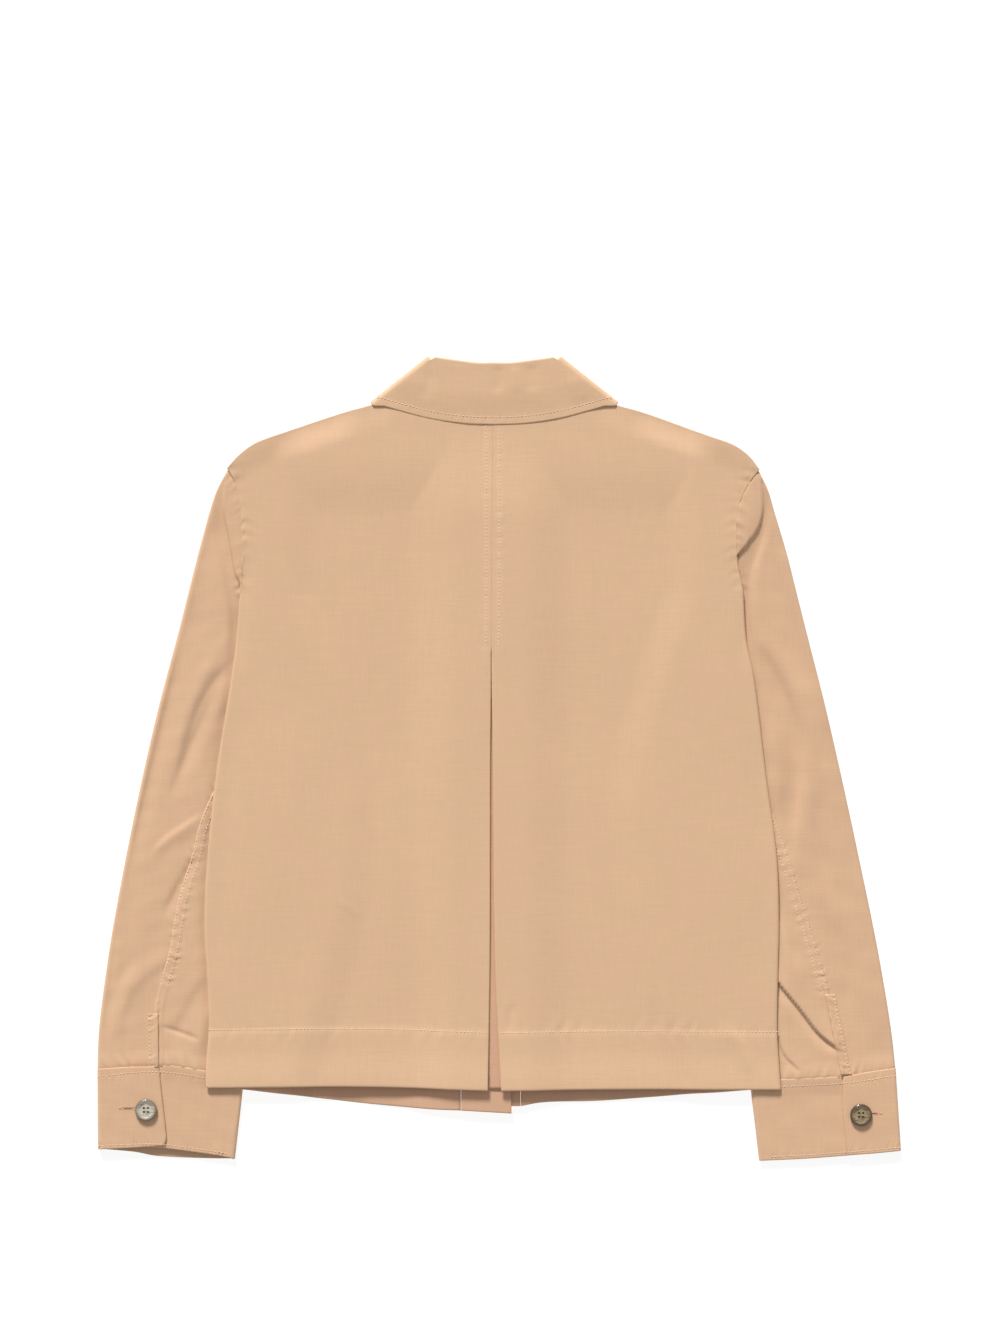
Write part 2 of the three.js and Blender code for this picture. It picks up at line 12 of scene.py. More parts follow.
import bpy
import numpy as np
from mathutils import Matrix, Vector


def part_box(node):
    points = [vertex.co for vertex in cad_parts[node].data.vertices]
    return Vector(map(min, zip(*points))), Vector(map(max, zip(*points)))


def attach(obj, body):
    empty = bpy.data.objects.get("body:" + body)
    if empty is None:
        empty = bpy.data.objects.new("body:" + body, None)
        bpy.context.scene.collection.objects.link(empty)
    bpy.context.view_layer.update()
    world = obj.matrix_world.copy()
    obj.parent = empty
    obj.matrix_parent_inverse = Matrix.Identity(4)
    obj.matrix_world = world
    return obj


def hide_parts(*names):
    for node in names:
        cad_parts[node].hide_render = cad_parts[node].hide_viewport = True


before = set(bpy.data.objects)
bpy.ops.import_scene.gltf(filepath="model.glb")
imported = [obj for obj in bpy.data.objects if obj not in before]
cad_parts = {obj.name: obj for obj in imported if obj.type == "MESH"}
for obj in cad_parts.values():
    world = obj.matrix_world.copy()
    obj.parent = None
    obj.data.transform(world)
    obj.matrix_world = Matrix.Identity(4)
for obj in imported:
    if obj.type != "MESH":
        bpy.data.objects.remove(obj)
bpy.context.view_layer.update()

LOG = logging.getLogger("overshirt")
MM = 0.001
Array = np.ndarray
Points = list[tuple[float, float]]

# How the layers lie: their undersides above the table, as in the solids
CLOTH = 1.0
DOUBLED = 1.5
GAP = 0.3
THREAD_SKIN = 0.55  # the visible wall of one layer
SLEEVE_TOP = 5.4
FRONT_ON_SLEEVE = 5.7
BACK_ON_SLEEVE = 7.0
OVERLAP_BAND = 2.9
UNDERLAP_BAND = 4.7
FRONT_ON_COLLAR = 2.4
BACK_AT_REST = 4.8
LAYER_STEP = 1.3
CENTRE_RISE = 4.3
LEAF_HEIGHT = 8.8
STAND_UNDER = 6.0
CENTRE_X = -5.0
HEM_DEPTH = 50.0


class Half(Enum):
    """The wearer's left or right, with its sign along X."""

    LEFT = -1
    RIGHT = 1

    @property
    def word(self) -> str:
        """The half's name in piece names."""
        return self.name.lower()


@dataclass(frozen=True)
class Pattern:
    """The outline of one half of the overshirt as it lies, from the hem up and from the shoulder down."""

    side: Points
    armhole: Points
    shoulder: Points
    back_hem: Points
    centre_back: Points
    front_hem: Points
    front_edge: Points
    sleeve_outer: Points
    sleeve_inner: Points
    sleeve_end: Points
    sleeve_seam: Points
    cap_fold: Points
    opening: Points
    cuff_low: Points
    cuff_under_low: Points
    overlap_edge: Points
    button: tuple[float, float]
    buttonhole: tuple[float, float]


PATTERNS = {
    Half.LEFT: Pattern(
        side=[
            (-252.4, -283.4), (-252.6, -267), (-250.2, -229), (-251.6, -190), (-254.1, -143), (-251.6, -87),
            (-243.8, -13), (-230.9, 69), (-226.6, 102), (-223.4, 143),
        ],
        armhole=[
            (-223.4, 143), (-221.5, 181), (-221.9, 192), (-223.2, 214.6), (-228.3, 238.7), (-234.4, 249.6),
        ],
        shoulder=[
            (-234.4, 249.6), (-224.5, 260.5), (-211.1, 270.5), (-189.6, 279), (-135.5, 297.4), (-110, 304.4),
            (-80, 316),
        ],
        back_hem=[(-252.4, -283.4), (-120, -282.6), (-9.9, -285.5)],
        centre_back=[(-9.9, -285.5), (-8.2, -173), (-7.7, 7), (-7.2, 68), (-7.2, 98), (-5.8, 307)],
        front_hem=[(-251.6, -282.4), (-219.7, -285.1), (-120, -297.1), (-58.9, -302.3), (-33.4, -303.2)],
        front_edge=[(-31.6, -303.2), (-31.6, 239)],
        sleeve_outer=[
            (-234.7, 249.6), (-244.7, 231), (-250.7, 213.7), (-260.2, 179.3), (-268.8, 145), (-277.4, 110.5),
            (-295.4, 41.7), (-310.9, -27), (-324.7, -96), (-336.7, -165), (-345.3, -233.5), (-346.4, -267.6),
        ],
        sleeve_inner=[
            (-223.7, 143), (-199, 85), (-178.5, 16), (-172, -36), (-178.5, -122), (-199, -208), (-220, -275.5),
        ],
        sleeve_end=[(-346.4, -267.6), (-293, -263.8), (-220, -275.5)],
        sleeve_seam=[
            (-214, 160), (-211, 90), (-225, 10), (-252.4, -51.2), (-261.9, -87.3), (-272.2, -120),
            (-281.7, -172.4), (-288.5, -193.9), (-293.7, -219.7), (-293.4, -268),
        ],
        cap_fold=[(-236.5, 247), (-237.4, 214.6), (-233, 191.5), (-229.3, 170), (-227.6, 160), (-222.5, 150)],
        opening=[(-293.7, -219.7), (-293.4, -266)],
        cuff_low=[(-346, -336.5), (-297, -335), (-282, -336.5), (-256, -340), (-239.3, -342.5), (-228, -345)],
        cuff_under_low=[(-346, -336.5), (-313.4, -339.5), (-297.6, -342.5), (-252, -344.8), (-227.9, -345.3)],
        overlap_edge=[(-293.2, -264.8), (-290.5, -290), (-287.4, -318), (-286.8, -328), (-288.4, -333)],
        button=(-304, -302.3),
        buttonhole=(-325.5, -301),
    ),
    Half.RIGHT: Pattern(
        side=[
            (242.1, -285), (240.8, -267), (239, -236), (239.5, -190), (240.4, -143), (238.7, -87),
            (229.2, -13), (218.9, 69), (212.4, 102), (209.8, 143),
        ],
        armhole=[(209.8, 143), (204.6, 171), (204.5, 193), (206, 216.3), (214.5, 236), (223.6, 248.6)],
        shoulder=[
            (223.6, 248.6), (214.6, 260), (202.4, 269), (180.2, 277.4), (125.1, 297.4), (100, 304.4), (70, 316),
        ],
        back_hem=[(242.1, -285), (110, -284.8), (1.3, -285.7)],
        centre_back=[(1.3, -285.7), (-3.9, -173), (-6, 7), (-6.9, 68), (-6.9, 98), (-5.5, 307)],
        front_hem=[(241.4, -283.4), (206, -286), (86.4, -295.2), (34.8, -296.7), (18.3, -299.5)],
        front_edge=[(16.5, -299.5), (16.5, 239)],
        sleeve_outer=[
            (223.9, 248.6), (232.6, 231), (237.8, 213.7), (248.1, 179.3), (256.7, 145), (265.3, 110.5),
            (282.5, 41.7), (298, -27), (312.6, -96), (326.4, -165), (337.6, -233.5), (341.2, -266.8),
        ],
        sleeve_inner=[
            (210.1, 143), (189, 85), (168.5, 16), (162, -36), (168.5, -122), (189, -208), (215.4, -277.5),
        ],
        sleeve_end=[(341.2, -266.8), (296, -273.6), (215.4, -277.5)],
        sleeve_seam=[
            (198, 160), (195, 90), (207, 20), (236, -62.4), (247.3, -92.5), (255.9, -121.7),
            (266.2, -153.5), (279.9, -201.7), (287.5, -240), (295, -275),
        ],
        cap_fold=[(224.5, 246), (226.2, 225.8), (226.2, 212), (221.5, 196), (213, 184.5), (206, 176)],
        opening=[(279.9, -203), (293.9, -272.5)],
        cuff_low=[(345.8, -337.6), (300.6, -341.9), (262, -344.8), (223.7, -346.6)],
        cuff_under_low=[(345.8, -337.6), (300.6, -341.9), (262, -344.8), (223.7, -346.6)],
        overlap_edge=[(295.4, -274), (296, -306), (299.7, -341.5)],
        button=(310.9, -306.6),
        buttonhole=(327, -305.5),
    ),
}


class Curve:
    """A smooth plan curve through a few points, read by the share of its length."""

    SAMPLES = 48

    def __init__(self, points: Points) -> None:
        """Samples a centripetal spline through the points.

        Args:
            points: The places that the curve passes through.
        """
        rows = np.array(points, float)
        ends = [2 * rows[0] - rows[1], *rows, 2 * rows[-1] - rows[-2]]
        spans = [self._span(*ends[index:index + 4]) for index in range(len(rows) - 1)]
        self.line = np.vstack([*spans, rows[-1:]])
        self.length_at = np.concatenate([[0.0], np.cumsum(np.linalg.norm(np.diff(self.line, axis=0), axis=1))])
        self.length = float(self.length_at[-1])

    @classmethod
    def _span(cls, before: Array, start: Array, end: Array, after: Array) -> Array:
        """The points of one span, from its start up to just before its end."""
        knots = [0.0]
        for near, far in ((before, start), (start, end), (end, after)):
            knots.append(knots[-1] + math.sqrt(max(float(np.linalg.norm(far - near)), 1e-9)))
        at = np.linspace(knots[1], knots[2], cls.SAMPLES, endpoint=False)[:, None]

        def blend(low: Array, high: Array, first: float, last: float) -> Array:
            return (last - at) / (last - first) * low + (at - first) / (last - first) * high

        pairs = [blend(before, start, knots[0], knots[1]), blend(start, end, knots[1], knots[2]),
                 blend(end, after, knots[2], knots[3])]
        halves = [blend(pairs[0], pairs[1], knots[0], knots[2]), blend(pairs[1], pairs[2], knots[1], knots[3])]
        return blend(halves[0], halves[1], knots[1], knots[2])

    def at(self, share: Array | float) -> Array:
        """The points at some shares of the length, with x and y in the last axis."""
        reach = np.clip(np.asarray(share, float), 0, 1) * self.length
        return np.stack([np.interp(reach, self.length_at, self.line[:, axis]) for axis in (0, 1)], axis=-1)

    def near(self, x: Array, y: Array) -> tuple[Array, Array]:
        """How places lie from the curve.

        Args:
            x: The places' x.
            y: The places' y.

        Returns:
            The signed distance, positive on the curve's left, and the length along it, both in millimetres.
        """
        every = max(1, len(self.line) // 40)
        line = np.vstack([self.line[:-1:every], self.line[-1:]])
        along = np.interp(np.arange(len(line)) * every, np.arange(len(self.line)), self.length_at)
        along[-1] = self.length
        best = np.full(np.shape(x), 1e9)
        side, reach = np.zeros(np.shape(x)), np.zeros(np.shape(x))
        for index in range(len(line) - 1):
            (ax, ay), (bx, by) = line[index], line[index + 1]
            dx, dy = bx - ax, by - ay
            squared = dx * dx + dy * dy + 1e-12
            share = np.clip(((x - ax) * dx + (y - ay) * dy) / squared, 0, 1)
            apart = np.hypot(x - ax - share * dx, y - ay - share * dy)
            closer = apart < best
            best = np.where(closer, apart, best)
            side = np.where(closer, np.sign(dx * (y - ay) - dy * (x - ax)), side)
            reach = np.where(closer, along[index] + share * math.sqrt(squared), reach)
        return best * side, reach

    def close(self, x: Array, y: Array, reach: float) -> Array:
        """Which places lie in the curve's box, grown by a reach in millimetres."""
        (x1, y1), (x2, y2) = self.line.min(axis=0) - reach, self.line.max(axis=0) + reach
        return (x > x1) & (x < x2) & (y > y1) & (y < y2)


class Joined:
    """Two curves end to end, the first with a share of the whole."""

    def __init__(self, first: Curve, second: Curve, first_share: float) -> None:
        """Keeps the two curves.

        Args:
            first: The curve read first.
            second: The curve read after it.
            first_share: The share at which the second one starts.
        """
        self.first, self.second, self.first_share = first, second, first_share

    def at(self, share: Array | float) -> Array:
        """The points at some shares of the whole."""
        share = np.asarray(share, float)
        low = self.first.at(share / self.first_share)
        high = self.second.at((share - self.first_share) / (1 - self.first_share))
        return np.where((share <= self.first_share)[..., None], low, high)


@dataclass
class Patch:
    """A four-sided plan between two curves along s and two along t."""

    along_start: Curve | Joined
    along_end: Curve | Joined
    down_start: Curve | Joined
    down_end: Curve | Joined

    def at(self, s: Array, t: Array) -> Array:
        """The points at (s, t), blended from the four sides."""
        s, t = np.broadcast_arrays(np.asarray(s, float), np.asarray(t, float))
        share, down = s[..., None], t[..., None]
        across = (1 - down) * self.along_start.at(s) + down * self.along_end.at(s)
        length = (1 - share) * self.down_start.at(t) + share * self.down_end.at(t)
        corner = {(i, j): (self.down_start if i == 0 else self.down_end).at(float(j)) for i in (0, 1) for j in (0, 1)}
        near = (1 - share) * corner[0, 0] + share * corner[1, 0]
        far = (1 - share) * corner[0, 1] + share * corner[1, 1]
        return across + length - (1 - down) * near - down * far


def smooth(value: Array | float, low: float, high: float) -> Array:
    """An eased step from 0 at low to 1 at high."""
    share = np.clip((np.asarray(value, float) - low) / (high - low), 0, 1)
    return share * share * (3 - 2 * share)


def band_rise(x: Array) -> Array:
    """How much of the rise over the front bands is felt, from 0 to 1."""
    return smooth(x, -81, -36) * (1 - smooth(x, 20, 65))


def sleeve_rise(half: Half, x: Array, y: Array, margin: float) -> Array:
    """How much a place lies over the sleeve that is tucked under the body, from 0 to 1."""
    inner = np.array(sorted(PATTERNS[half].sleeve_inner, key=lambda point: point[1]))
    edge = half.value * np.interp(y, inner[:, 1], inner[:, 0]) - margin
    return smooth((half.value * x - edge) / 35, -1, 0)


def front_under(half: Half, x: Array, y: Array) -> Array:
    """The underside of a front, over the bands, the collar or a sleeve."""
    band = UNDERLAP_BAND if half is Half.LEFT else OVERLAP_BAND
    collar = smooth(y, 180, 198) * (1 - smooth(np.abs(x - CENTRE_X), 112, 136))
    side = FRONT_ON_SLEEVE * sleeve_rise(half, x, y, 20)
    return np.maximum(np.maximum(band * band_rise(x), FRONT_ON_COLLAR * collar), side)


def back_under(half: Half, x: Array, y: Array) -> Array:
    """The underside of a back half, which closes onto the front along the shoulder."""
    up = smooth(y, 205, 285)
    centre = BACK_AT_REST + CENTRE_RISE * (1 - 0.72 * up) * np.maximum(band_rise(x), up)
    side = BACK_AT_REST + (BACK_ON_SLEEVE - BACK_AT_REST) * sleeve_rise(half, x, y, 36)
    shoulder = np.array(sorted((half.value * px, py) for px, py in PATTERNS[half].shoulder))
    below = np.interp(half.value * x, shoulder[:, 0], shoulder[:, 1]) - y
    closing = smooth(np.abs(x - CENTRE_X), 80, 96) * (1 - smooth(below, 0, 25))
    return (1 - closing) * np.maximum(centre, side) + closing * (front_under(half, x, y) + CLOTH + 1.6)


class Wander:
    """Seeded waves that wander unevenly along a line or over a plan."""

    def __init__(self, seed: int) -> None:
        """Draws the waves' phases.

        Args:
            seed: The seed of the draws.
        """
        draws = np.random.default_rng(seed)
        self.pitches = draws.uniform(0.62, 1.7, 7)
        self.phases = draws.uniform(0, 2 * math.pi, 7)
        self.turns = draws.uniform(0, 2 * math.pi, 7)

    def along(self, reach: Array, pitch: float) -> Array:
        """An uneven wave along a length, from about -1 to 1."""
        waves = [np.sin(2 * math.pi * reach / (pitch * p) + f) for p, f in zip(self.pitches, self.phases)]
        return sum(waves) / 3.2

    def over(self, x: Array, y: Array, pitch: float) -> Array:
        """An uneven swell over a plan, from about -1 to 1."""
        waves = [
            np.sin(2 * math.pi * (x * math.cos(a) + y * math.sin(a)) / (pitch * p) + f)
            for p, f, a in zip(self.pitches, self.phases, self.turns)
        ]
        return sum(waves) / 3.2


@dataclass(frozen=True)
class Crease:
    """A soft ridge or trough along a plan curve, steeper on one side where its widths differ."""

    points: Points
    rise: float
    left: float
    right: float

    def lift(self, x: Array, y: Array) -> Array:
        """The crease's height at each place, fading out at both ends."""
        curve = Curve(self.points)
        total = np.zeros(np.shape(x))
        close = curve.close(x, y, 2.6 * max(self.left, self.right))
        apart, reach = curve.near(x[close], y[close])
        width = np.where(apart > 0, self.left, self.right)
        ends = smooth(reach / curve.length, 0.0, 0.3) * (1 - smooth(reach / curve.length, 0.7, 1.0))
        total[close] = self.rise * ends * np.exp(-((apart / width) ** 2))
        return total


@dataclass(frozen=True)
class Tuck:
    """A fold where the cloth on the left of a plan curve lies over the cloth on its right."""

    points: Points
    step: float
    reach: float

    def lift(self, x: Array, y: Array) -> Array:
        """The tuck's height at each place, fading out at its far end."""
        curve = Curve(self.points)
        total = np.zeros(np.shape(x))
        close = curve.close(x, y, 2.6 * self.reach)
        apart, along = curve.near(x[close], y[close])
        over = 0.45 * np.exp(-((apart / self.reach) ** 2))
        below = -0.55 * np.exp(-((apart / (0.4 * self.reach)) ** 2))
        side = smooth(apart, -0.8, 0.8)
        fade = 1 - smooth(along / curve.length, 0.86, 1.0)
        total[close] = self.step * fade * (over * side + below * (1 - side))
        return total


@dataclass(frozen=True)
class Pucker:
    """The small waves that sewing draws up along a line."""

    points: Points
    depth: float
    reach: float
    pitch: float
    seed: int

    def lift(self, x: Array, y: Array) -> Array:
        """The puckers' height at each place."""
        curve = Curve(self.points)
        total = np.zeros(np.shape(x))
        close = curve.close(x, y, 2.6 * self.reach)
        apart, along = curve.near(x[close], y[close])
        fall = np.exp(-((apart / self.reach) ** 2))
        groove = -0.35 * np.exp(-((apart / 0.9) ** 2))
        wander = Wander(self.seed)
        wave = wander.along(along + 0.5 * np.abs(apart), self.pitch)
        swell = 0.6 + 0.4 * wander.along(along, 7 * self.pitch)
        total[close] = self.depth * (wave * swell * fall + groove)
        return total


class Wire:
    """A node's socket in a shader, with the arithmetic that is used on it."""

    def __init__(self, tree: bpy.types.NodeTree, socket: bpy.types.NodeSocket) -> None:
        """Wraps a socket.

        Args:
            tree: The node tree that the socket is in.
            socket: The output that later nodes read.
        """
        self.tree, self.socket = tree, socket

    def _math(self, operation: str, *terms: "Wire | float") -> "Wire":
        """A Math node on some terms."""
        return Shader.place(self.tree, "ShaderNodeMath", {"operation": operation}, dict(enumerate(terms)))

    def __add__(self, other: "Wire | float") -> "Wire":
        """The sum."""
        return self._math("ADD", self, other)

    def __sub__(self, other: "Wire | float") -> "Wire":
        """The difference."""
        return self._math("SUBTRACT", self, other)

    def __mul__(self, other: "Wire | float") -> "Wire":
        """The product."""
        return self._math("MULTIPLY", self, other)

    def __rsub__(self, other: float) -> "Wire":
        """The difference from a number."""
        return self._math("SUBTRACT", other, self)

    def __pow__(self, other: float) -> "Wire":
        """The power."""
        return self._math("POWER", self, other)

    __radd__ = __add__
    __rmul__ = __mul__

    def clamped(self, low: float, high: float) -> "Wire":
        """The value between two bounds, as an eased step from 0 to 1."""
        settings = {"interpolation_type": "SMOOTHSTEP"}
        return Shader.place(self.tree, "ShaderNodeMapRange", settings, {"Value": self, "From Min": low, "From Max": high})


Colour = tuple[float, float, float]


class Shader:
    """A material under construction: one Principled surface and the nodes that feed it."""

    def __init__(self, name: str, constants: dict[str, float | tuple[float, ...]]) -> None:
        """Makes the material with its surface's constant values.

        Args:
            name: The material's name.
            constants: The surface's socket names and the values they keep.
        """
        self.material = bpy.data.materials.new(name)
        self.material.use_nodes = True
        self.tree = self.material.node_tree
        self.surface = next(node for node in self.tree.nodes if node.type == "BSDF_PRINCIPLED")
        for socket, value in constants.items():
            self.surface.inputs[socket].default_value = value

    @staticmethod
    def place(tree: bpy.types.NodeTree, kind: str, settings: dict, inputs: dict, output: int | str = 0) -> Wire:
        """Adds a node.

        Args:
            tree: The tree that it goes in.
            kind: The node's type.
            settings: Its properties, set before its sockets, with a ramp's stops as "stops".
            inputs: Values or wires by socket name or number.
            output: The socket that is returned.

        Returns:
            The chosen output.
        """
        node = tree.nodes.new(kind)
        for key, value in settings.items():
            if key == "stops":
                ramp = node.color_ramp.elements
                while len(ramp) < len(value):
                    ramp.new(0.5)
                for element, (position, colour) in zip(ramp, value):
                    element.position, element.color = position, (*colour, 1)
            else:
                setattr(node, key, value)
        for key, value in inputs.items():
            if isinstance(value, Wire):
                tree.links.new(value.socket, node.inputs[key])
            else:
                node.inputs[key].default_value = value
        return Wire(tree, node.outputs[output])

    def node(self, kind: str, settings: dict | None = None, inputs: dict | None = None, output: int | str = 0) -> Wire:
        """Adds a node to this material."""
        return self.place(self.tree, kind, settings or {}, inputs or {}, output)

    def plan(self, scale: tuple[float, float, float], turn: float = 0.0) -> Wire:
        """The place on the garment, turned about the vertical and scaled."""
        place = self.node("ShaderNodeTexCoord", output="Object")
        inputs = {"Vector": place, "Rotation": (0, 0, turn), "Scale": scale}
        return self.node("ShaderNodeMapping", {"vector_type": "POINT"}, inputs)

    def noise(self, vector: Wire, scale: float, detail: float = 2.0, roughness: float = 0.5) -> Wire:
        """A noise value on a vector."""
        inputs = {"Vector": vector, "Scale": scale, "Detail": detail, "Roughness": roughness}
        return self.node("ShaderNodeTexNoise", {}, inputs)

    def mix(self, factor: Wire | float, first: "Wire | Colour", second: "Wire | Colour", blend: str = "MIX") -> Wire:
        """A colour between two, or one laid on the other."""
        ends = [end if isinstance(end, Wire) else (*end, 1) for end in (first, second)]
        settings = {"data_type": "RGBA", "blend_type": blend}
        return self.node("ShaderNodeMix", settings, {0: factor, 6: ends[0], 7: ends[1]}, output=2)

    def feed(self, socket: str, value: Wire) -> None:
        """Links a value to a socket of the surface."""
        self.tree.links.new(value.socket, self.surface.inputs[socket])

    def bump(self, height: Wire, distance: float, strength: float) -> None:
        """Feeds a bump of a height to the surface's normal."""
        inputs = {"Strength": strength, "Distance": distance, "Height": height}
        self.feed("Normal", self.node("ShaderNodeBump", {}, inputs))


@dataclass(frozen=True)
class Cotton:
    """A plain woven, garment-dyed cotton: slubs along both threads, a mottled dye, and seams made lighter, partly as
    wear and partly as a painted highlight.
    """

    name: str
    tone: Colour
    grain: float = 0.0
    flush: Colour = (0.735, 0.43, 0.29)

    def material(self) -> bpy.types.Material:
        """Builds the finish.

        Returns:
            The material.
        """
        constants = {"Sheen Weight": 0.12, "Sheen Roughness": 0.45, "Specular IOR Level": 0.22}
        shader = Shader(self.name, constants)
        warp = shader.noise(shader.plan((1300, 60, 90), self.grain), 1.0, 1.0)
        weft = shader.noise(shader.plan((40, 1200, 90), self.grain), 1.0, 1.0)
        mottle = shader.noise(shader.plan((1, 1, 1)), 34.0, 3.0, 0.55)
        cloud = shader.noise(shader.plan((1, 1, 1)), 9.0, 2.0)
        slub = shader.noise(shader.plan((140, 9, 9), self.grain), 1.0, 2.0).clamped(0.62, 0.82)
        worn = shader.node("ShaderNodeAttribute", {"attribute_name": "worn"}, output="Fac")
        weave = warp * 0.5 + weft * 0.5
        dark = tuple(0.965 * part for part in self.tone)
        light = tuple(min(1.0, 1.03 * part) for part in self.tone)
        colour = shader.mix(weave.clamped(0.32, 0.68), dark, light)
        colour = shader.mix(mottle.clamped(0.35, 0.75) * 0.16, colour, self.flush)
        colour = shader.mix(cloud.clamped(0.45, 0.8) * 0.1, colour, tuple(0.93 * part for part in self.tone))
        colour = shader.mix(slub * 0.12, colour, tuple(min(1.0, 1.12 * part) for part in self.tone))
        # Lighter along the seams: part wear, part painted highlight on the puckers.
        colour = shader.mix(worn * 0.35, colour, (0.82, 0.56, 0.39))
        shader.feed("Base Color", colour)
        shader.feed("Roughness", weave * 0.12 + 0.8)
        threads = shader.plan((2600, 2600, 2600), self.grain)
        fine = shader.noise(threads, 1.0, 1.0)
        shader.bump(weave * 0.7 + fine * 0.3, 0.00012, 0.55)
        return shader.material


@dataclass(frozen=True)
class Sewing:
    """Matched cotton thread; in a near-black tone it is also the painted shadow in a buttonhole's slit."""

    name: str = "thread"
    tone: Colour = (0.86, 0.61, 0.44)

    def material(self) -> bpy.types.Material:
        """Builds the finish.

        Returns:
            The material.
        """
        shader = Shader(self.name, {"Roughness": 0.7, "Sheen Weight": 0.2})
        twist = shader.noise(shader.plan((1, 1, 1)), 1800.0)
        shader.feed("Base Color", shader.mix(twist, tuple(0.86 * part for part in self.tone), self.tone))
        shader.bump(twist, 0.00005, 0.5)
        return shader.material


@dataclass(frozen=True)
class Horn:
    """A polished button blank: a light middle, marbled streaks and a darker rim, with painted shade, near black, in its
    sunk holes.
    """

    name: str
    centre: tuple[float, float, float]
    middle: Colour
    streak: Colour
    rim: Colour
    radius: float = 9.5

    def material(self) -> bpy.types.Material:
        """Builds the finish.

        Returns:
            The material.
        """
        constants = {"Roughness": 0.24, "Coat Weight": 0.5, "Coat Roughness": 0.1, "Specular IOR Level": 0.5}
        shader = Shader(self.name, constants)
        offset = {"Vector": shader.node("ShaderNodeTexCoord", output="Object"), 1: self.centre}
        local = shader.node("ShaderNodeVectorMath", {"operation": "SUBTRACT"}, offset)
        out = shader.node("ShaderNodeVectorMath", {"operation": "LENGTH"}, {0: local}, output="Value")
        out = out * (1 / (self.radius * MM))
        bands = shader.node("ShaderNodeMapping", {}, {"Vector": local, "Rotation": (0, 0, 0.7), "Scale": (1, 3.2, 1)})
        marble = shader.noise(bands, 190.0, 5.0, 0.62)
        cloudy = shader.noise(local, 120.0, 3.0)
        colour = shader.mix(marble.clamped(0.42, 0.68), self.middle, self.streak)
        colour = shader.mix(cloudy.clamped(0.5, 0.75) * 0.5, colour, tuple(0.6 * part for part in self.streak))
        colour = shader.mix(out.clamped(0.62, 0.97), colour, self.rim)
        # Painted shade: the sunk holes turn near black.
        pit = shader.node("ShaderNodeAttribute", {"attribute_name": "pit"}, output="Fac")
        colour = shader.mix(pit, colour, (0.02, 0.014, 0.01))
        shader.feed("Base Color", colour)
        shader.bump(marble, 0.00004, 0.25)
        return shader.material


class Finishes:
    """The finishes that the pieces share, each made once."""

    SLEEVE_TURN = 0.2

    def __init__(self) -> None:
        """Makes the materials."""
        tone = (0.690, 0.455, 0.285)
        shaded = (0.672, 0.434, 0.272)
        self.body = Cotton("cotton_body", tone).material()
        self.sleeve = {
            Half.LEFT: Cotton("cotton_sleeve_left", shaded, self.SLEEVE_TURN).material(),
            Half.RIGHT: Cotton("cotton_sleeve_right", shaded, -self.SLEEVE_TURN).material(),
        }
        self.inside = Cotton("cotton_inside", (0.63, 0.385, 0.25)).material()
        self.thread = Sewing().material()
        self.tack = Sewing("thread_tack", (0.70, 0.38, 0.24)).material()
        # A near-black thread laid in each buttonhole's slit as a painted shadow.
        self.slit_shadow = Sewing("painted_slit_shadow", (0.13, 0.07, 0.04)).material()


@dataclass
class Cloth:
    """A thin closed shell between an outer and an inner grid of points, in millimetres."""

    name: str
    outer: Array
    inner: Array
    # How much lighter each point is along the seams, partly wear and partly painted highlight.
    worn: Array | None = None

    def mesh(self, origin: Vector) -> bpy.types.Mesh:
        """Makes the shell's mesh, facing out.

        Args:
            origin: Where the pattern's origin lies in the row frame, in metres.

        Returns:
            The mesh, in metres.
        """
        rows, columns = self.outer.shape[:2]
        index = np.arange(rows * columns).reshape(rows, columns)
        under = index + rows * columns
        a, b, c, d = index[:-1, :-1], index[:-1, 1:], index[1:, 1:], index[1:, :-1]
        top = np.stack([a, b, c, d], axis=-1).reshape(-1, 4)
        bottom = np.stack([a, d, c, b], axis=-1).reshape(-1, 4) + rows * columns
        rim = [
            np.stack([index[1:, 0], under[1:, 0], under[:-1, 0], index[:-1, 0]], axis=-1),
            np.stack([index[:-1, -1], under[:-1, -1], under[1:, -1], index[1:, -1]], axis=-1),
            np.stack([index[0, :-1], under[0, :-1], under[0, 1:], index[0, 1:]], axis=-1),
            np.stack([index[-1, 1:], under[-1, 1:], under[-1, :-1], index[-1, :-1]], axis=-1),
        ]
        quads = np.vstack([top, bottom, *rim])
        points = np.vstack([self.outer.reshape(-1, 3), self.inner.reshape(-1, 3)])
        corners = points[quads]
        span = np.cross(corners[:, 2] - corners[:, 0], corners[:, 3] - corners[:, 1])
        if float(np.einsum("ij,ij->", span, corners.mean(axis=1))) < 0:
            quads = quads[:, ::-1]
        mesh = bpy.data.meshes.new(self.name)
        mesh.from_pydata((points * MM + np.array(origin)).tolist(), [], quads.tolist())
        mesh.polygons.foreach_set("use_smooth", [True] * len(quads))
        mesh.update()
        worn = np.zeros(rows * columns) if self.worn is None else np.clip(self.worn, 0, 1).ravel()
        mesh.attributes.new("worn", "FLOAT", "POINT").data.foreach_set("value", np.tile(worn, 2).astype(np.float32))
        return mesh


